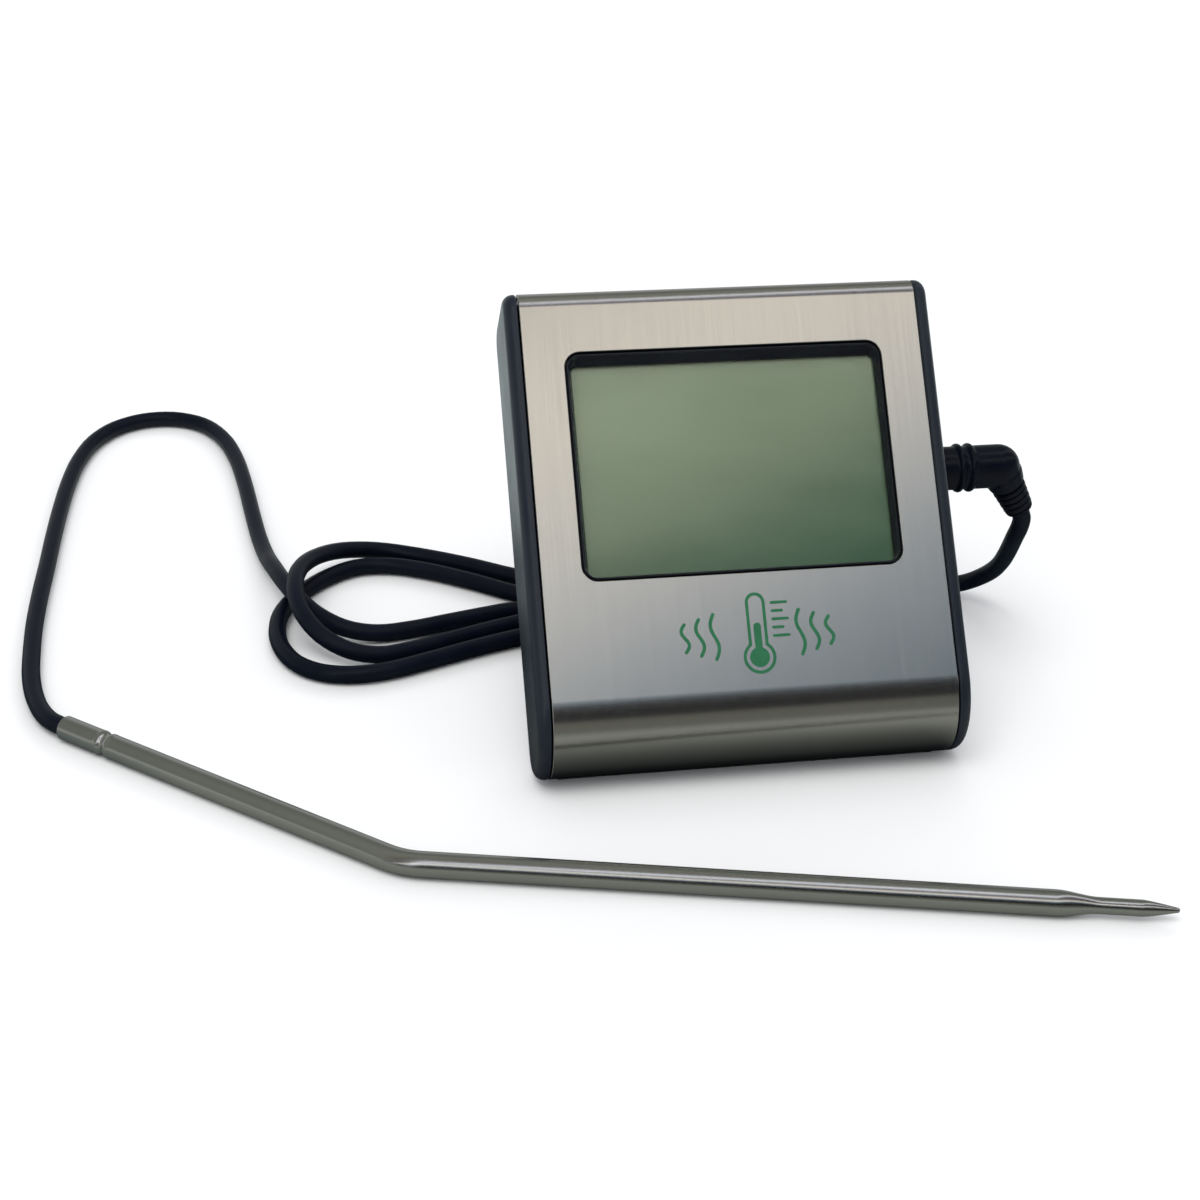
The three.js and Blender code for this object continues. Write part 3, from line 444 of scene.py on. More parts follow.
STEEL = brushed_steel(
    "steel_face", (0.72, 0.69, 0.645), (0.58, 0.565, 0.54), 0.23, 9000.0, 0.85, 0.5 * MICRON
)
PROBE_STEEL = brushed_steel(
    "probe_steel", (0.62, 0.61, 0.575), (0.5, 0.5, 0.47), 0.2, 5000.0, 0.4, 0.6 * MICRON
)
NICKEL = plated_metal("nickel", (0.72, 0.7, 0.66), 0.24)
FOIL = plated_metal("foil", (0.74, 0.76, 0.74), 0.32, 500.0)
# the black plastic carries a painted sheen on its upper parts
BLACK = moulded_plastic(
    "black_plastic", (0.008, 0.012, 0.021), (0.016, 0.022, 0.032), 0.36, 3800.0, 12 * MICRON, sheen=0.29
)
SATIN_BLACK = moulded_plastic(
    "satin_black", (0.01, 0.013, 0.02), (0.018, 0.022, 0.03), 0.42, 2600.0, 20 * MICRON
)
GLOSS = moulded_plastic(
    "gloss_black", (0.006, 0.007, 0.011), (0.009, 0.011, 0.016), 0.2, 1500.0, 4 * MICRON, 0.2
)
RUBBER = moulded_plastic(
    "rubber", (0.014, 0.016, 0.02), (0.028, 0.03, 0.034), 0.62, 2400.0, 30 * MICRON, 0.8
)
PLUG_VINYL = moulded_plastic(
    "plug_vinyl", (0.002, 0.003, 0.007), (0.005, 0.007, 0.013), 0.3, 2200.0, 8 * MICRON, 0.1, specular=0.22
)
GREY = moulded_plastic(
    "component_grey", (0.1, 0.11, 0.12), (0.14, 0.15, 0.16), 0.5, 2500.0, 10 * MICRON
)
TIE_SKIN = moulded_plastic(
    "tie_skin", (0.03, 0.034, 0.04), (0.05, 0.055, 0.06), 0.5, 2600.0, 30 * MICRON, 0.8
)
CORD = cord_rubber()
LCD = display_glass()
LENS = clear_plastic()
INK = printed_ink()
BOARD = circuit_green()

SLOT_MATERIALS = {
    "steel_face": STEEL, "probe_steel": PROBE_STEEL, "nickel": NICKEL, "black_plastic": BLACK,
    "gloss_black": GLOSS, "rubber": RUBBER, "cord_rubber": CORD, "lens": LENS, "lcd": LCD,
    "foil": FOIL, "board": BOARD, "component_grey": GREY,
}

# ---- the display unit's own frame

# Across, depth behind the face, and height above the face's lower bend, in millimetres.
FACE_BACK = Vector(MOUNTS["magnet_face_right"]["axis"])
LEAN = math.atan2(-FACE_BACK.z, FACE_BACK.y)
MAGNET = Vector((25.5, 16.8, 29.0))      # middle of the right magnet's face
MAGNET_R = 5.0
LEAN_TURN = Matrix.Rotation(-LEAN, 4, "X")
UNIT_ORIGIN = Vector(MOUNTS["magnet_face_right"]["pos_m"]) - LEAN_TURN @ (MAGNET * MM)
UNIT_MM = Matrix.Translation(UNIT_ORIGIN) @ LEAN_TURN @ ROW_MM


def unit_box(node):
    """Lowest and highest corner of a CAD node in the unit's frame."""
    inverse = UNIT_MM.inverted()
    places = [inverse @ vertex.co for vertex in NODES[node].data.vertices]
    return [Vector([pick(p[i] for p in places) for i in range(3)]) for pick in (min, max)]


def unit_axis(node):
    """Where a CAD node's middle line is, across and up, and the lowest and highest depth on it."""
    low, high = unit_box(node)
    return (low.x + high.x) / 2, (low.z + high.z) / 2, low.y, high.y


PANEL_LOW, PANEL_HIGH = unit_box("front_panel")
CAP_LOW, CAP_HIGH = unit_box("right_end_cap")
STEEL_HALF = PANEL_HIGH.x
STEEL_END = PANEL_HIGH.y
UNIT_LOW, UNIT_HIGH = PANEL_LOW.z, PANEL_HIGH.z
DEPTH = CAP_HIGH.y
TOP_ROLL = 3.3
TOP_FALL = math.radians(11)              # slope of the top side down to the back
CHIN_DEEP, CHIN_TALL = 10.6, 12.1        # half axes of the bend under the chin
REAR_ROLL = 5.0
FACE_LOW = UNIT_LOW + CHIN_TALL
FACE_HIGH = UNIT_HIGH - TOP_ROLL
CAP_EDGE = 1.9
STEEL_SHEET = 0.5
WINDOW = (-28.7, 28.5, 20.7, 61.5, 2.8)  # x0, x1, z0, z1 and corner radius of the hole in the steel
BEZEL_RIM = (-27.9, 27.9, 21.4, 60.7, 2.0)
VISIBLE = (-27.3, 27.4, 21.8, 59.4, 1.0)
BEZEL_FRONT, BEZEL_BACK = 0.2, 2.2
GAP = 0.3                                # clearance between touching pieces
JACK_Y, JACK_Z = 9.9, 39.5
JACK_HOLE = 3.1

# ---- mesh helpers


def arc(cx, cy, r, start, end, steps, tall=None):
    """Points of an arc, both ends included, with its angles in degrees; tall is its upright half axis."""
    angles = [math.radians(start + (end - start) * k / steps) for k in range(steps + 1)]
    return [(cx + r * math.cos(a), cy + (tall or r) * math.sin(a)) for a in angles]


def rounded_rect(x0, x1, z0, z1, r, steps):
    return (
        arc(x1 - r, z0 + r, r, -90, 0, steps) + arc(x1 - r, z1 - r, r, 0, 90, steps)
        + arc(x0 + r, z1 - r, r, 90, 180, steps) + arc(x0 + r, z0 + r, r, 180, 270, steps)
    )


def ring_faces(n, first, second):
    """The faces between two closed loops of n points, from the numbers of their first points."""
    return [(first + k, first + (k + 1) % n, second + (k + 1) % n, second + k) for k in range(n)]


def dress(obj, body, material, smooth=35.0):
    """Smooth shading, a material and a body to ride on for a piece of the object."""
    obj.data.materials.clear()
    obj.data.materials.append(material)
    obj.data.shade_smooth()
    obj.data.set_sharp_from_angle(angle=math.radians(smooth))
    weighted = obj.modifiers.new("flat_faces", "WEIGHTED_NORMAL")
    weighted.keep_sharp = True
    weighted.weight = 100
    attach(obj, body)


def add_mesh(name, verts, faces, place, grain=None):
    """A mesh object from points in millimetres, with its normals facing out.

    Grain coordinates are one for each corner of each face. Without them, points that meet are joined.
    """
    mesh = bpy.data.meshes.new(name)
    mesh.from_pydata([place @ Vector(v) for v in verts], [], faces)
    if grain:
        for loop, corner in zip(mesh.uv_layers.new(name="grain").data, grain):
            loop.uv = corner
    work = bmesh.new()
    work.from_mesh(mesh)
    if not grain:
        bmesh.ops.remove_doubles(work, verts=work.verts, dist=1e-7)
    bmesh.ops.recalc_face_normals(work, faces=work.faces)
    work.to_mesh(mesh)
    work.free()
    return add_object(name, mesh)


def settle(obj):
    """Applies every modifier of obj."""
    bpy.context.view_layer.update()
    graph = bpy.context.evaluated_depsgraph_get()
    mesh = bpy.data.meshes.new_from_object(obj.evaluated_get(graph))
    obj.modifiers.clear()
    old = obj.data
    obj.data = mesh
    bpy.data.meshes.remove(old)
    obj.data.name = obj.name


def combine(obj, tools, operation="DIFFERENCE"):
    """Cuts the tools out of obj, or joins them to it, and uses them up."""
    for tool in tools:
        modifier = obj.modifiers.new("combine", "BOOLEAN")
        modifier.operation = operation
        modifier.solver = "EXACT"
        modifier.object = tool
    settle(obj)
    for tool in tools:
        bpy.data.objects.remove(tool)


def soften(obj, width, angle):
    """A fine round on every edge sharper than the angle."""
    modifier = obj.modifiers.new("edges", "BEVEL")
    modifier.width = width * MM
    modifier.segments = 3
    modifier.limit_method = "ANGLE"
    modifier.angle_limit = math.radians(angle)
    modifier.harden_normals = True


def prism(outline, y0, y1):
    """Points and faces of an (x, height) outline pulled out in depth."""
    n = len(outline)
    verts = [(x, y, z) for y in (y0, y1) for x, z in outline]
    ends = [tuple(range(n)), tuple(range(2 * n - 1, n - 1, -1))]
    return verts, ends + ring_faces(n, 0, n)


def lofted(name, rings, sides, place):
    """A round body through rings of (centre, way, radius).

    Its grain runs round it: u is the distance along its outline and v is the one round it.
    """
    verts, faces, grain, loops = [], [], [], []
    along = [0.0]
    for before, after in zip(rings, rings[1:]):
        step = (after[0] - before[0]).length
        along.append(along[-1] + math.hypot(step, after[2] - before[2]))
    widest = max(radius for _, _, radius in rings)
    side = rings[0][1].orthogonal()
    for centre, way, radius in rings:
        side = (side - way * side.dot(way)).normalized()
        up = way.cross(side)
        count = sides if radius > 0 else 1
        loops.append([len(verts) + k for k in range(count)])
        for k in range(count):
            angle = 2 * math.pi * k / sides
            verts.append(centre + (side * math.cos(angle) + up * math.sin(angle)) * radius)
    for i, (low, high) in enumerate(zip(loops, loops[1:])):
        for k in range(max(len(low), len(high))):
            face = []
            for loop, around, ring in ((low, k, i), (low, k + 1, i), (high, k + 1, i + 1), (high, k, i + 1)):
                vertex = loop[around % len(loop)]
                if vertex not in face:
                    face.append(vertex)
                    grain.append((along[ring] * MM, 2 * math.pi * widest * around / sides * MM))
            faces.append(face)
    return add_mesh(name, verts, faces, place, grain)


def turned(name, profile, base, way, sides, place=ROW_MM):
    """A straight round body from (distance along, radius) points."""
    return lofted(name, [(base + way * along, way, radius) for along, radius in profile], sides, place)


class BentPath:
    """A straight line, one round bend and another straight line."""

    def __init__(self, start, way_in, way_out, to_corner, after_corner, bend_r):
        self.start, self.way_in, self.way_out = start, way_in, way_out
        self.turn = way_in.angle(way_out)
        self.bend_r = bend_r
        tangent = bend_r * math.tan(self.turn / 2)
        self.first = to_corner - tangent
        self.arc = bend_r * self.turn
        self.total = self.first + self.arc + after_corner - tangent
        self.bend_start = start + way_in * self.first
        self.inward = (way_out - way_in * way_in.dot(way_out)).normalized()
        self.bend_end = start + way_in * to_corner + way_out * tangent

    def at(self, s):
        """The point and direction at the distance s."""
        if s <= self.first:
            return self.start + self.way_in * s, self.way_in
        if s >= self.first + self.arc:
            return self.bend_end + self.way_out * (s - self.first - self.arc), self.way_out
        a = (s - self.first) / self.bend_r
        way = self.way_in * math.cos(a) + self.inward * math.sin(a)
        out = self.way_in * math.sin(a) + self.inward * (1 - math.cos(a))
        return self.bend_start + out * self.bend_r, way

    def rings(self, profile):
        return [(*self.at(s), radius) for s, radius in profile]


def rounded_step(s, r0, r1, size, steps=4):
    """Profile points that turn a quarter circle from (s, r0) out to (s + size, r1) or back."""
    rise = r1 - r0
    angles = [math.pi / 2 * k / steps for k in range(steps + 1)]
    return [(s + size * (1 - math.cos(a)), r0 + rise * math.sin(a)) for a in angles]


# ---- steel face


def top_at(depth, inset):
    """Height of the sloped top side."""
    drop = math.sin(TOP_FALL) * (depth - TOP_ROLL)
    return FACE_HIGH + (TOP_ROLL - inset - drop) / math.cos(TOP_FALL)


TOP_ANGLE = 90 - math.degrees(TOP_FALL)


def wrap_line(inset):
    """A line of the steel sheet's side section, in (depth, height), from its top rear edge down.

    It is moved in by inset from the sheet's outside.
    """
    line = [(STEEL_END, top_at(STEEL_END, inset))]
    line += arc(TOP_ROLL, FACE_HIGH, TOP_ROLL - inset, TOP_ANGLE, 180, 18)
    line += arc(CHIN_DEEP, FACE_LOW, CHIN_DEEP - inset, 180, 270, 44, CHIN_TALL - inset)
    line.append((STEEL_END, UNIT_LOW + inset))
    return line


def along_wrap(y, z):
    """Distance from the top of the flat face to a point of the steel, down the outside."""
    if z < FACE_LOW:
        angle = math.atan2((FACE_LOW - z) / CHIN_TALL, (CHIN_DEEP - y) / CHIN_DEEP)
        mean = (CHIN_DEEP + CHIN_TALL) / 2
        return FACE_HIGH - FACE_LOW + mean * angle + max(0.0, y - CHIN_DEEP)
    if z > FACE_HIGH:
        angle = math.atan2(z - FACE_HIGH, TOP_ROLL - y)
        return -TOP_ROLL * angle - max(0.0, y - TOP_ROLL)
    return FACE_HIGH - z


def grain_from_height(obj):
    """Grain coordinates that run down the face and on round both bends."""
    inverse = UNIT_MM.inverted()
    mesh = obj.data
    layer = mesh.uv_layers.get("grain") or mesh.uv_layers.new(name="grain")
    for loop, corner in zip(mesh.loops, layer.data):
        place = inverse @ mesh.vertices[loop.vertex_index].co
        corner.uv = (place.x * MM, along_wrap(place.y, place.z) * MM)


def make_steel_face():
    outer, inner = wrap_line(0.0), wrap_line(STEEL_SHEET)
    n = len(outer)
    verts = [(x, y, z) for x in (-STEEL_HALF, STEEL_HALF) for y, z in outer + inner]
    far = 2 * n
    faces = []
    for k in range(n - 1):
        faces.append((k, k + 1, far + k + 1, far + k))
        faces.append((n + k, far + n + k, far + n + k + 1, n + k + 1))
        faces.append((k, n + k, n + k + 1, k + 1))
        faces.append((far + k, far + k + 1, far + n + k + 1, far + n + k))
    faces.append((0, far, far + n, n))
    faces.append((n - 1, 2 * n - 1, far + 2 * n - 1, far + n - 1))
    panel = add_mesh("steel_face", verts, faces, UNIT_MM)
    combine(panel, [add_mesh("opening", *prism(rounded_rect(*WINDOW, 14), -1.0, 1.5), UNIT_MM)])
    soften(panel, 0.13, 50.0)
    settle(panel)
    grain_from_height(panel)
    dress(panel, "housing", STEEL, 30.0)
    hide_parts("front_panel")


def make_bezel():
    """The black frame in the window: a rounded lip, then walls that slope in to the display."""
    def between(first, second, share):
        return [a + (b - a) * share for a, b in zip(first, second)]

    x0, x1, z0, z1, corner = WINDOW
    edge = (x0 + GAP, x1 - GAP, z0 + GAP, z1 - GAP, corner - GAP)
    low, high = unit_box("display_bezel")
    flange = (low.x, high.x, low.z, high.z, 0.3)
    lip = 0.3
    sections = [(edge, 2.0)]
    for k in range(11):
        turn = math.pi * k / 10
        rim = between(edge, BEZEL_RIM, (1 - math.cos(turn)) / 2)
        sections.append((rim, BEZEL_FRONT + lip * (1 - math.sin(turn))))
    for k in range(1, 6):
        share = k / 6
        depth = BEZEL_FRONT + lip + (BEZEL_BACK - BEZEL_FRONT - lip) * share
        sections.append((between(BEZEL_RIM, VISIBLE, share), depth))
    sections += [(VISIBLE, BEZEL_BACK), (flange, BEZEL_BACK), (flange, 2.0)]
    verts = [(x, y, z) for outline, y in sections for x, z in rounded_rect(*outline, 10)]
    n = len(verts) // len(sections)
    faces = []
    for i in range(len(sections)):
        faces += ring_faces(n, i * n, (i + 1) % len(sections) * n)
    bezel = add_mesh("bezel_frame", verts, faces, UNIT_MM)
    dress(bezel, "housing", GLOSS, 40.0)
    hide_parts("display_bezel")


# ---- end caps


def side_outline(inset):
    """The unit's closed side outline in (depth, height), moved in by inset."""
    rear = DEPTH - REAR_ROLL
    rear_high = top_at(rear, 0) - REAR_ROLL / math.cos(TOP_FALL)
    return (
        arc(CHIN_DEEP, FACE_LOW, CHIN_DEEP - inset, 270, 180, 36, CHIN_TALL - inset)
        + arc(TOP_ROLL, FACE_HIGH, TOP_ROLL - inset, 180, TOP_ANGLE, 16)
        + arc(rear, rear_high, REAR_ROLL - inset, TOP_ANGLE, 0, 20)
        + arc(rear, UNIT_LOW + REAR_ROLL, REAR_ROLL - inset, 0, -90, 20)
    )


def make_end_cap(side, node):
    edge_x = CAP_HIGH.x - CAP_EDGE
    sections = [(CAP_LOW.x, 0.15), (CAP_LOW.x + 0.15, 0.0), (edge_x, 0.0)]
    for k in range(1, 13):
        angle = math.pi / 2 * k / 12
        sections.append((edge_x + CAP_EDGE * math.sin(angle), CAP_EDGE * (1 - math.cos(angle))))
    verts = [(side * x, y, z) for x, inset in sections for y, z in side_outline(inset)]
    n = len(verts) // len(sections)
    faces = [tuple(range(n)), tuple(range(len(verts) - n, len(verts)))]
    for i in range(len(sections) - 1):
        faces += ring_faces(n, i * n, (i + 1) * n)
    cap = add_mesh(f"{node}_moulding", verts, faces, UNIT_MM)
    if side > 0:
        hole = [(30, 0), (30, JACK_HOLE), (37.9, JACK_HOLE), (38.6, 3.8), (40, 3.8), (40, 0)]
        combine(cap, [turned("jack_hole", hole, Vector((0, JACK_Y, JACK_Z)), X_WAY, 48, UNIT_MM)])
    dress(cap, "housing", BLACK, 30.0)
    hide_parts(node)


# ---- printed mark


def with_ways(line):
    """The points of a line, each with the direction of the line there."""
    last = len(line) - 1
    return [(p, (line[min(k + 1, last)] - line[max(k - 1, 0)]).normalized()) for k, p in enumerate(line)]


def ribbon(points, width):
    """Outline of a line of the given width with round ends, in (x, height)."""
    line = [Vector(p) for p in points]
    left, right = [], []
    for p, way in with_ways(line):
        side = Vector((-way.y, way.x)) * width / 2
        left.append(tuple(p + side))
        right.append(tuple(p - side))
    ends = []
    for tip, back in ((line[-1], line[-2]), (line[0], line[1])):
        start = math.degrees(math.atan2(tip.y - back.y, tip.x - back.x)) + 90
        ends.append(arc(*tip, width / 2, start, start - 180, 8)[1:-1])
    return left + ends[0] + right[::-1] + ends[1]


BULB_AT = -4.0                           # height of the bulb's centre in the mark


def bulb_outline(stem, bulb, height):
    """Outline of a bulb thermometer: a stem of half-width stem that ends so high above the bulb."""
    meet = math.degrees(math.asin(stem / bulb))
    round_bulb = arc(0, BULB_AT, bulb, 90 + meet, 450 - meet, 32)
    return round_bulb + arc(0, BULB_AT + height, stem, 0, 180, 16)


MARK_CENTRE = Vector((0.9, 9.8))
MARK_FRONT, MARK_BACK = -0.045, -0.004   # depths of the ink on the steel
TICK_WIDTH = 0.5
WAVE_WIDTH = 0.62


def make_printed_mark():
    """A bulb thermometer with degree ticks and three heat waves on either side, printed on the steel."""
    shapes = [[bulb_outline(0.65, 1.75, 5.4)], [bulb_outline(1.75, 2.9, 9.6), bulb_outline(1.2, 2.35, 9.6)]]
    for k in range(5):
        length = 1.7 if k % 2 else 2.6
        z = -0.4 + 1.45 * k
        shapes.append([ribbon([(2.9, z), (2.9 + length, z)], TICK_WIDTH)])
    for side in (-1, 1):
        for k in range(3):
            x = side * (7.6 + 2.6 * k)
            reach = 3.9 - 0.75 * k
            wave = [(x + 0.62 * math.sin(math.pi * t / 6), reach * (t / 6 - 1)) for t in range(13)]
            shapes.append([ribbon(wave, WAVE_WIDTH)])
    verts, faces = [], []
    for outlines in shapes:
        first, n = len(verts), len(outlines[0])
        for outline in outlines:
            faces += ring_faces(n, len(verts), len(verts) + n)
            for y in (MARK_FRONT, MARK_BACK):
                verts += [(MARK_CENTRE.x + x, y, MARK_CENTRE.y + z) for x, z in outline]
        for layer in (first, first + n):
            if len(outlines) == 1:
                faces.append(tuple(range(layer, layer + n)))
            else:
                faces += ring_faces(n, layer, layer + 2 * n)
    mark = add_mesh("printed_mark", verts, faces, UNIT_MM)
    dress(mark, "housing", INK)


# ---- plug and its strain relief

JACK = UNIT_MM @ Vector((CAP_HIGH.x, JACK_Y, JACK_Z)) / MM
JACK_BASE = Vector((0, JACK.y, JACK.z))
PLUG_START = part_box("plug_body")[0].x / MM
ELBOW_X = 51.4
ELBOW = Vector((ELBOW_X, JACK.y, JACK.z))
ELBOW_TURN = math.radians(60)
RELIEF_WAY = Vector((math.cos(ELBOW_TURN), 0, -math.sin(ELBOW_TURN)))
PLUG_R = 4.0
PLUG_SKIN = 0.16                         # size of the cells that the barrel and neck are joined with
RIB_WIDTH, RIB_RISE = 1.3, 0.5
NECK_LENGTH = 4.6
RELIEF_LENGTH = 5.6
RELIEF_R = 3.1
RELIEF_PITCH = 1.3
PIN_R = 1.25


def make_plug():
    """A ribbed barrel and the neck that turns down from its round end, as one moulding."""
    barrel = [(PLUG_START, 0), (PLUG_START, 3.5)] + rounded_step(PLUG_START, 3.5, PLUG_R, 0.5)
    for rib in (42.8, 44.9):
        barrel.append((rib, PLUG_R))
        for k in range(1, 10):
            rise = RIB_RISE * math.sin(math.pi * k / 10) ** 0.6
            barrel.append((rib + RIB_WIDTH * k / 10, PLUG_R + rise))
        barrel.append((rib + RIB_WIDTH, PLUG_R))
    end = ELBOW_X - 0.1
    barrel += arc(end, 0, PLUG_R, 90, 0, 14)[:-1] + [(end + PLUG_R, 0)]
    body = turned("plug_moulding", barrel, JACK_BASE, X_WAY, 56)
    neck = [(0, 0), (0, 3.6), (2.2, 3.75), (NECK_LENGTH - 0.4, 3.3), (NECK_LENGTH, 3.0), (NECK_LENGTH, 0)]
    combine(body, [turned("neck", neck, ELBOW, RELIEF_WAY, 56)], "UNION")
    remesh = body.modifiers.new("skin", "REMESH")
    remesh.mode = "VOXEL"
    remesh.voxel_size = PLUG_SKIN * MM
    relax = body.modifiers.new("relax", "SMOOTH")
    relax.iterations = 5
    settle(body)
    seat_start, seat_end, seat_r = PLUG_START - 1, PLUG_START + 5.3, PIN_R + GAP
    seat = [(seat_start, 0), (seat_start, seat_r), (seat_end, seat_r), (seat_end, 0)]
    combine(body, [turned("pin_seat", seat, JACK_BASE, X_WAY, 32)])
    dress(body, "lead", PLUG_VINYL, 60.0)
    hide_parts("plug_body")
    return body


def make_relief():
    """The strain relief: four collars that get smaller towards the cord."""
    profile = [(0, 0), (0, 2.7)] + rounded_step(0, 2.7, RELIEF_R, 0.25)
    for k in range(4):
        s, r = k * RELIEF_PITCH, RELIEF_R - 0.12 * k
        profile += [(s + 0.72, r), (s + 0.84, r - 0.08), (s + 0.9, r - 0.5), (s + 1.14, r - 0.52)]
        profile += [(s + 1.2, r - 0.22), (s + RELIEF_PITCH, r - 0.12)]
    profile += [(RELIEF_LENGTH - 0.1, 2.55), (RELIEF_LENGTH, 2.35), (RELIEF_LENGTH, 1.78)]
    profile += [(RELIEF_LENGTH - 1.0, 1.74), (RELIEF_LENGTH - 1.0, 0)]
    start = ELBOW + RELIEF_WAY * (NECK_LENGTH + GAP)
    relief = turned("relief_moulding", profile, start, RELIEF_WAY, 56)
    dress(relief, "lead", PLUG_VINYL, 40.0)
    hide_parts("plug_strain_relief")
    return relief


def make_plug_pin():
    """Plated jack pin: a pointed tip, a waist, an insulating groove and the sleeve."""
    end = PLUG_START + 5
    profile = [(27.4, 0), (27.45, 0.3), (28.15, 0.92), (28.5, 0.98), (29.0, 0.72), (29.3, 0.72)]
    profile += [(30.0, 1.22), (30.6, PIN_R), (31.4, PIN_R), (31.4, 1.12), (32.1, 1.12)]
    profile += [(32.1, PIN_R), (end, PIN_R), (end, 0)]
    pin = turned("plug_contact", profile, JACK_BASE, X_WAY, 40)
    dress(pin, "lead", NICKEL, 30.0)
    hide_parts("plug_pin")
    return pin


# ---- probe

PROBE_R = 2.2
PROBE_BORE = 1.8
PROBE_HEADING = math.radians(-40.26)
PROBE_TURN = math.radians(27.06)
HANDLE_LENGTH = 73.1
SHAFT_LENGTH = 105.0
PROBE_BEND_R = 14.0
PROBE_START = Vector((-119.0, 23.1, PROBE_R))
HANDLE_WAY = Vector((math.cos(PROBE_HEADING), math.sin(PROBE_HEADING), 0))
SHAFT_HEADING = PROBE_HEADING + PROBE_TURN
SHAFT_WAY = Vector((math.cos(SHAFT_HEADING), math.sin(SHAFT_HEADING), 0))
PROBE_PATH = BentPath(
    PROBE_START, HANDLE_WAY, SHAFT_WAY, HANDLE_LENGTH, SHAFT_LENGTH, PROBE_BEND_R
)
CRIMP_AT = 9.9
CRIMP_DEEP, CRIMP_RAISED = 0.3, 0.06     # its groove, and the swelling on either side of it
SOCKET_DEEP = 6.8                        # how far the lead goes into the tube
POINT_SEAM = 0.005                       # gap between the tube and its point
SHOULDER = 0.5
TAPER_END, NEEDLE_END, POINT_LENGTH = 7.4, 14.6, 20.4
NEEDLE_R, TIP_R = 1.38, 0.42


def crimp_radius(s):
    """The tube's outer radius beside and in the rolled crimp."""
    t = (s - CRIMP_AT) / 0.55
    groove = CRIMP_DEEP * math.exp(-t * t)
    return PROBE_R - groove + CRIMP_RAISED * math.exp(-((abs(t) - 2.0) / 0.7) ** 2)


def make_probe_shaft():
    """The bent tube, with a hollow start for the lead, a rolled crimp and a square open end."""
    total = PROBE_PATH.total
    steps = 150
    profile = [(SOCKET_DEEP, 0), (SOCKET_DEEP, PROBE_BORE - 0.05), (0.25, PROBE_BORE - 0.05)]
    profile += [(0.06, PROBE_BORE + 0.05), (0.0, PROBE_BORE + 0.18)]
    profile += [(0.05, PROBE_R - 0.08), (0.2, PROBE_R)]
    profile += [(7.6 + 0.1 * k, crimp_radius(7.6 + 0.1 * k)) for k in range(47)]
    profile += [(12.6 + (total - 12.9) * k / steps, PROBE_R) for k in range(steps + 1)]
    profile += [(total, PROBE_R), (total, PROBE_BORE)]
    profile += [(total - 2.0, PROBE_BORE), (total - 2.0, 0)]
    shaft = lofted("probe_shaft", PROBE_PATH.rings(profile), 64, ROW_MM)
    dress(shaft, "probe", PROBE_STEEL, 50.0)
    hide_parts("probe_tube")


def make_probe_point():
    """Swaged end: a short shoulder, a smooth taper to a thin parallel length, and a blunt cone."""
    start = POINT_SEAM - GAP
    profile = [(start, 0), (start, PROBE_R), (SHOULDER, PROBE_R)]
    for k in range(1, 15):
        t = k / 14
        fall = t * t * (3 - 2 * t)
        profile.append((SHOULDER + (TAPER_END - SHOULDER) * t, PROBE_R + (NEEDLE_R - PROBE_R) * fall))
    profile += [(TAPER_END + 0.8, NEEDLE_R), (NEEDLE_END - 0.4, NEEDLE_R), (NEEDLE_END, NEEDLE_R - 0.01)]
    round_tip = TIP_R * 0.8
    cone_end = POINT_LENGTH - round_tip
    for k in range(1, 7):
        t = k / 6
        r = NEEDLE_R + (TIP_R - NEEDLE_R) * t ** 1.15
        profile.append((NEEDLE_END + (cone_end - NEEDLE_END) * t, r))
    for a in (0.35, 0.7, 1.05, 1.3):
        profile.append((cone_end + round_tip * math.sin(a), TIP_R * math.cos(a)))
    profile.append((POINT_LENGTH, 0))
    base = PROBE_PATH.at(PROBE_PATH.total)[0] + SHAFT_WAY * GAP
    point = turned("probe_point", profile, base, SHAFT_WAY, 56)
    dress(point, "probe", PROBE_STEEL, 40.0)
    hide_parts("probe_tip")


# ---- tie round the loops

TIE_X = -8.0
TIE_STRANDS = (45, 62)                   # the strands that it holds pass between these depths
TIE_SLACK = 0.35
TWISTS = 3.5
TAIL_RISE, TAIL_R = 8.5, 0.38


def strands_in_tie():
    """Where the tied strands pass the tie, as (y, z) points."""
    places = []
    for a, b in zip(cord_line, cord_line[1:]):
        if (a.x - TIE_X) * (b.x - TIE_X) <= 0 and a.x != b.x and TIE_STRANDS[0] < a.y < TIE_STRANDS[1]:
            p = a.lerp(b, (TIE_X - a.x) / (b.x - a.x))
            places.append((p.y, p.z))
    return places


def hull(points):
    """Convex outline of points, turning left."""
    def half(order):
        line = []
        for p in order:
            while len(line) > 1 and (
                (line[-1][0] - line[-2][0]) * (p[1] - line[-2][1])
                - (line[-1][1] - line[-2][1]) * (p[0] - line[-2][0])
            ) <= 0:
                line.pop()
            line.append(p)
        return line[:-1]

    order = sorted(set(points))
    return half(order) + half(order[::-1])


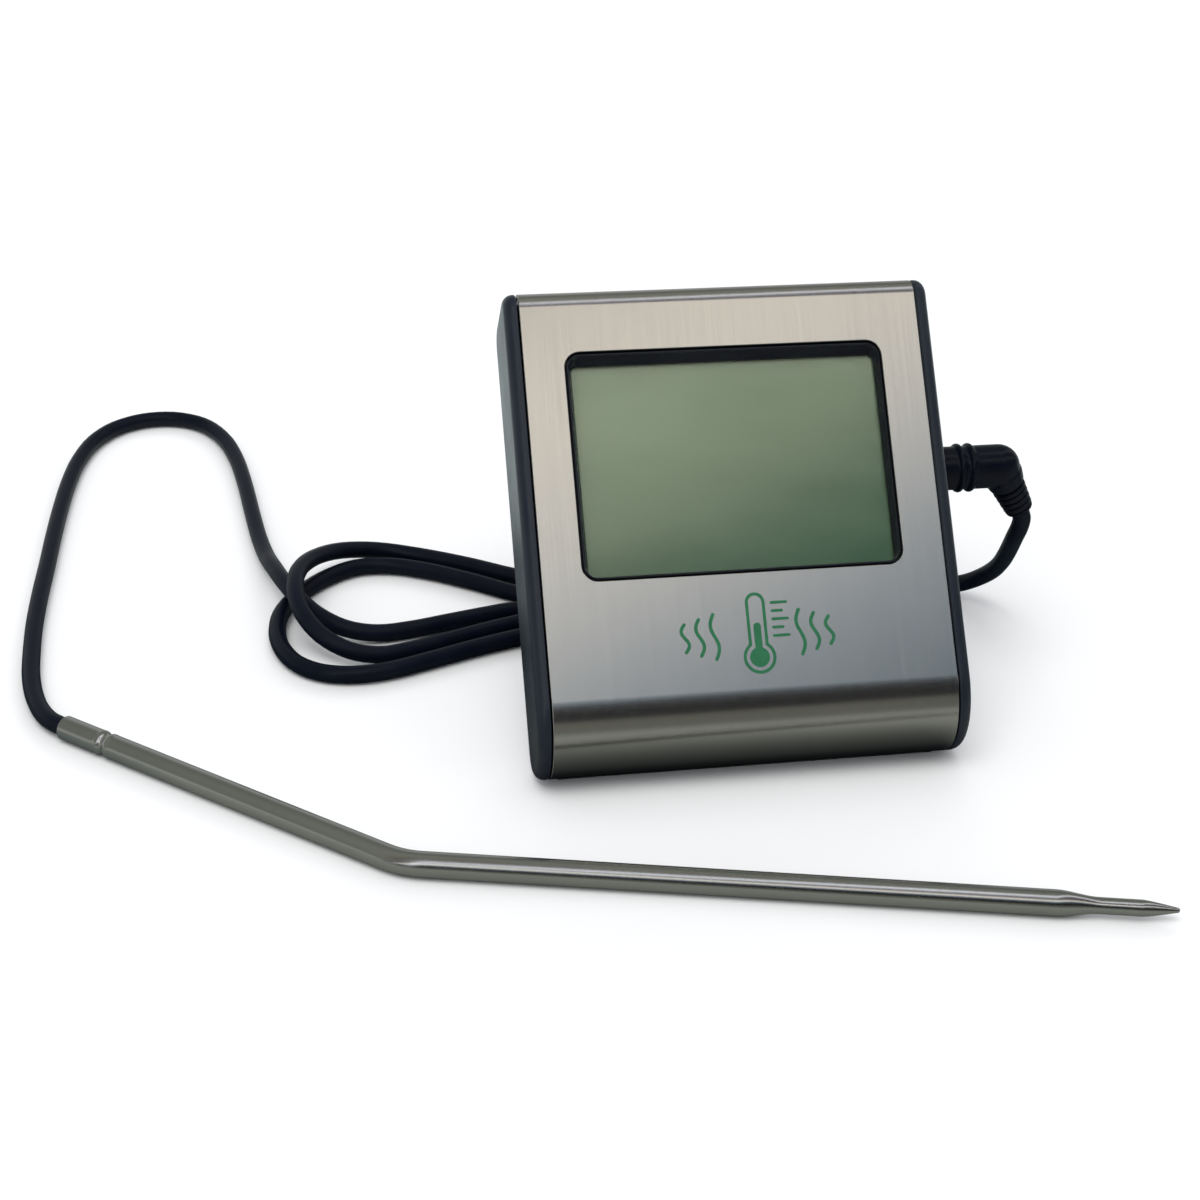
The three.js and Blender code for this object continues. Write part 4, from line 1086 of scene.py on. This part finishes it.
def make_tie():
    """A flat tie with a wire down its middle, wound once round the strands and twisted shut."""
    reach = CORD_D / 2 + TIE_SLACK
    crowd = []
    for y, z in strands_in_tie():
        crowd += [(y + reach * math.cos(a / 8), z + reach * math.sin(a / 8)) for a in range(51)]
    outline = [Vector((TIE_X, y, max(z, 0.5))) for y, z in hull(crowd)]
    rib = [(-1.7, 0.1), (-0.5, 0.12), (-0.28, 0.3), (0, 0.38), (0.28, 0.3), (0.5, 0.12), (1.7, 0.1)]
    section = rib + [(w, -t) for w, t in reversed(rib)]
    n, m = len(outline), len(section)
    verts, faces = [], []
    for k, p in enumerate(outline):
        way = (outline[(k + 1) % n] - outline[k - 1]).normalized()
        out = Vector((0, way.z, -way.y))
        verts += [p + X_WAY * w + out * t for w, t in section]
        faces += ring_faces(m, k * m, (k + 1) % n * m)
    tie = add_mesh("tie_band", verts, faces, ROW_MM)
    dress(tie, "lead", TIE_SKIN, 50.0)

    top = max(outline, key=lambda p: p.z)
    for name, start in (("tie_tail_a", 0), ("tie_tail_b", math.pi)):
        line = []
        for k in range(41):
            t = k / 40
            turn = start + TWISTS * 2 * math.pi * t
            spread = 0.42 + 3.0 * max(0.0, t - 0.8)
            line.append(Vector((
                TIE_X + spread * math.cos(turn), top.y + 0.5 + TAIL_RISE * t,
                top.z + 0.75 + spread * math.sin(turn) * 0.9,
            )))
        rings = [(p, way, TAIL_R) for p, way in with_ways(line)]
        ends = [(*rings[i][:2], 0) for i in (0, -1)]
        tail = lofted(name, [ends[0], *rings, ends[1]], 12, ROW_MM)
        dress(tail, "lead", TIE_SKIN, 50.0)
        yield tail
    yield tie


# ---- small turned pieces on the back


def unit_turned(name, profile, x, z, sides):
    return turned(name, profile, Vector((x, 0, z)), Y_WAY, sides, UNIT_MM)


SCREW_R, SCREW_ROUND = 2.1, 0.55         # its head and the height of the head's rounding
CROSS_LONG, CROSS_WIDE, CROSS_DEEP = 1.2, 0.26, 0.62


def make_screws():
    """Pan-head screws with a cross recess, each at its own angle."""
    for k, place in enumerate(("upper_left", "upper_right", "lower_left", "lower_right")):
        node = f"case_screw_{place}"
        x, z, low, head = unit_axis(node)
        rounding = head - SCREW_ROUND
        profile = [(low, 0), (low, 0.9), (low + 0.5, 1.1), (head - 1.1, 1.1)]
        profile += [(head - 1.1, SCREW_R), (rounding, SCREW_R)]
        for a in (0.3, 0.6, 0.9, 1.2, math.pi / 2):
            profile.append((rounding + SCREW_ROUND * math.sin(a), SCREW_R - 1.0 * (1 - math.cos(a))))
        profile.append((head, 0))
        screw = unit_turned(f"screw_{place}", profile, x, z, 36)
        blades = []
        for quarter in (0, math.pi / 2):
            a = math.radians(20 + 37 * k) + quarter
            along, over = Vector((math.cos(a), math.sin(a))), Vector((-math.sin(a), math.cos(a)))
            corners = [along * (u * CROSS_LONG) + over * (v * CROSS_WIDE) for u, v in SQUARE]
            outline = [(x + c.x, z + c.y) for c in corners]
            blades.append(add_mesh("blade", *prism(outline, head - CROSS_DEEP, head + 1), UNIT_MM))
        combine(screw, blades)
        grain_from_height(screw)
        dress(screw, "housing", NICKEL, 35.0)
        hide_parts(node)


def make_magnets():
    for node in ("magnet_left", "magnet_right"):
        x, _, low, high = unit_axis(node)
        profile = [(low, 0), (low, MAGNET_R - 0.2), (low + 0.2, MAGNET_R), (high - 0.35, MAGNET_R)]
        profile += rounded_step(high - 0.35, MAGNET_R, MAGNET_R - 0.35, 0.35, 5)[1:] + [(high, 0)]
        magnet = unit_turned(f"{node}_disc", profile, x, MAGNET.z, 64)
        dress(magnet, "housing", NICKEL, 40.0)
        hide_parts(node)


def make_buttons():
    """Rubber caps with a dished top, a raised rim and a skirt under the cover."""
    for place in ("upper", "lower"):
        node = f"button_{place}"
        x, z, low, top = unit_axis(node)
        profile = [(low, 0), (low, 2.0), (low + 1.8, 2.0), (low + 1.8, 3.5), (low + 2.6, 3.5)]
        profile += [(low + 2.6, 2.6), (top - 0.45, 2.58), (top - 0.2, 2.48), (top - 0.04, 2.25)]
        profile += [(top, 1.95), (top - 0.06, 1.7), (top - 0.22, 1.2), (top - 0.3, 0.6), (top - 0.32, 0)]
        cap = unit_turned(f"{node}_cap", profile, x, z, 48)
        dress(cap, f"{place}_button", RUBBER, 50.0)
        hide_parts(node)


# ---- carried-over CAD nodes


# The moulded edges' rounds on CAD nodes that are shown as they are, and the textured mouldings among them.
EDGE_ROUNDS = {
    "rear_cover": 0.25, "battery_door": 0.2, "stand_leg": 0.3, "stand_foot_pad": 0.25,
    "base_foot_strip": 0.2, "slide_switch_knob": 0.2, "lcd_glass": 0.1, "display_lens": 0.08,
    "jack_socket": 0.12, "circuit_board": 0.05, "buzzer": 0.2,
}
TEXTURED = ("rear_cover", "stand_leg", "battery_door")


def finish_cad_nodes():
    """Every CAD node gets its slot's material, and welded corners so that it shades smoothly."""
    for entry in frame["record"]["subparts"]:
        name = entry["node"]
        node = NODES[name]
        material = SATIN_BLACK if name in TEXTURED else SLOT_MATERIALS[entry["material_slot"]]
        node.data.materials.clear()
        node.data.materials.append(material)
        weld = node.modifiers.new("weld", "WELD")
        weld.merge_threshold = 0.01 * MM
        if name in EDGE_ROUNDS:
            soften(node, EDGE_ROUNDS[name], 35.0)


# ---- studio

FLOOR_HALF = 4.0
FLOOR_COLOR = (0.86, 0.86, 0.86)
# the table in front as polished surfaces see it: a painted reflection
MIRRORED_FRONT = (0.115, 0.125, 0.115)
# What polished surfaces see of it, a painted reflection of light and dark bands: starting from the front
# colour above, each colour takes over from the one before between two distances behind the foot, in metres.
FLOOR_MIRRORED = [
    (-0.3, -0.07, (0.21, 0.225, 0.205)), (0.0, 0.04, (0.05, 0.075, 0.085)),
    (0.05, 0.115, (0.42, 0.45, 0.44)),
]
UNDER_CHIN = (0.004, 0.006, 0.009)       # painted shade: the unit's own shade on the table, as its chin sees it


def make_floor():
    """A pale table top. What reflections show of it is painted: darker than the table itself, in bands of
    painted light and shade, with a painted shade just in front of the unit.
    """
    mesh = bpy.data.meshes.new("floor")
    corners = [(x * FLOOR_HALF, y * FLOOR_HALF, 0) for x, y in SQUARE]
    mesh.from_pydata(corners, [], [(0, 1, 2, 3)])
    floor = add_object("floor", mesh)
    m = Nodes("floor")
    place = m.split(m.place)
    # painted shade: reflections of the table close in front of the unit, across its width, turn dark
    beside = m.to_range(m.times(place["X"], place["X"]), 0.036 ** 2, 0.046 ** 2, 1.0, 0.0)
    chin_shade = m.times(m.to_range(place["Y"], -0.034, -0.005, 0.0, 0.93), beside)
    mirrored = MIRRORED_FRONT
    for start, end, color in FLOOR_MIRRORED:
        mirrored = m.blend(m.to_range(place["Y"], start, end, 0.0, 1.0), mirrored, color)
    mirrored = m.blend(chin_shade, mirrored, UNDER_CHIN)
    glossy = m.new("ShaderNodeLightPath").outputs["Is Glossy Ray"]
    m.shade(Base_Color=m.blend(glossy, FLOOR_COLOR, mirrored), Roughness=0.8, Specular_IOR_Level=0.0)
    mesh.materials.append(m.material)


# What polished surfaces see, from the front horizon (0 degrees) over the zenith to the back one (180):
# a low dark wall, a broad soft ceiling light, and a calm back of the room.
SKY = [
    (0, (0.175, 0.185, 0.165)), (14, (0.17, 0.175, 0.155)), (18, (0.012, 0.011, 0.012)),
    (40, (0.012, 0.012, 0.014)), (43.5, (0.13, 0.2, 0.25)), (47, (0.15, 0.27, 0.4)),
    (49, (0.27, 0.43, 0.62)), (51, (0.7, 0.79, 0.89)), (52.7, (1.33, 1.26, 1.2)),
    (56, (1.5, 1.42, 1.25)), (61.2, (1.6, 1.5, 1.31)), (63.0, (0.1, 0.095, 0.14)),
    (85, (0.14, 0.13, 0.14)), (100, (0.2, 0.19, 0.16)), (118, (0.28, 0.3, 0.27)),
    (140, (0.16, 0.18, 0.16)), (160, (0.42, 0.44, 0.44)), (180, (0.5, 0.5, 0.5)),
]
SKY_TURN = 0.55                          # how far the ceiling light's edges run askew to the room
# A long narrow lamp, on the same scale but more askew.
LAMP = [
    (84, (0.0, 0.0, 0.0)), (86, (1.7, 1.8, 2.0)), (94, (1.7, 1.8, 2.0)), (96, (0.0, 0.0, 0.0)),
]
LAMP_TURN = 1.09
SKY_MIDDLE = 0.225                       # the sideways direction that is on the scale exactly
SKY_FALLOFF = (0.17, 0.31, 0.0, 0.19)    # sideways directions over which the light falls, and by how much


SKY_LIGHT = (0.92, 0.94, 0.97)           # what lights everything that is not polished
BACKDROP = (0.93, 0.93, 0.93)
SKY_STRENGTH = 0.82


def make_sky():
    world = bpy.data.worlds.new("studio")
    bpy.context.scene.world = world
    world.use_nodes = True
    world.node_tree.nodes.clear()
    w = Tree(world.node_tree)
    way = w.split(w.new("ShaderNodeTexCoord").outputs["Generated"])
    sideways = w.math("SUBTRACT", way["X"], SKY_MIDDLE)

    def band(stops, turn):
        """The colours of stops, by the angle over the room, askew by turn."""
        forward = w.math("SUBTRACT", w.times(sideways, turn), way["Y"])
        ramp = w.new("ShaderNodeValToRGB")
        elements = ramp.color_ramp.elements
        while len(elements) < len(stops):
            elements.new(1.0)
        for element, (degrees, color) in zip(elements, stops):
            element.position = degrees / 180
            element.color = (*color, 1.0)
        w.link(w.math("DIVIDE", w.math("ARCTAN2", way["Z"], forward), math.pi), ramp.inputs["Fac"])
        return ramp.outputs["Color"]

    lit = w.blend(1.0, band(SKY, SKY_TURN), band(LAMP, LAMP_TURN), "ADD")
    lit = w.blend(w.to_range(way["X"], *SKY_FALLOFF), lit, (0.0, 0.0, 0.0))
    ray = w.new("ShaderNodeLightPath").outputs
    mirrored = w.blend(ray["Is Glossy Ray"], SKY_LIGHT, lit)
    background = w.new("ShaderNodeBackground")
    seen = w.blend(ray["Is Camera Ray"], mirrored, BACKDROP)
    w.feed(background, ("Color", "Strength"), (seen, SKY_STRENGTH))
    output = w.new("ShaderNodeOutputWorld")
    w.link(background.outputs["Background"], output.inputs["Surface"])


def area_light(name, place, aim, size, power, color):
    data = bpy.data.lights.new(name, "AREA")
    data.shape = "RECTANGLE"
    data.size, data.size_y = size
    data.energy = power
    data.color = color
    light = add_object(name, data)
    light.location = place
    light.rotation_euler = (Vector(aim) - Vector(place)).to_track_quat("-Z", "Y").to_euler()
    light.visible_glossy = False


def make_lights():
    area_light("key", (-0.25, -0.35, 1.1), (0, 0.02, 0.02), (0.9, 0.7), 7.0, (1.0, 0.99, 0.97))
    area_light("back_fill", (0.3, 1.0, 0.7), (0, 0, 0.04), (0.8, 0.4), 3.0, (0.95, 0.97, 1.0))


# ---- assembly

bpy.context.scene.view_settings.view_transform = "Standard"
finish_cad_nodes()
make_steel_face()
make_bezel()
make_end_cap(-1, "left_end_cap")
make_end_cap(1, "right_end_cap")
make_printed_mark()
make_screws()
make_magnets()
make_buttons()

on_cord = [make_plug(), make_relief(), make_plug_pin(), *make_tie()]
make_probe_shaft()
make_probe_point()

cord.data.materials.clear()
cord.data.materials.append(CORD)
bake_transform(cord)
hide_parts("plug_lead", "cord_hank", "probe_lead")
line_length(cord_line) * MM
[tuple(place * MM) for place in cord_line]

make_floor()
make_sky()
make_lights()
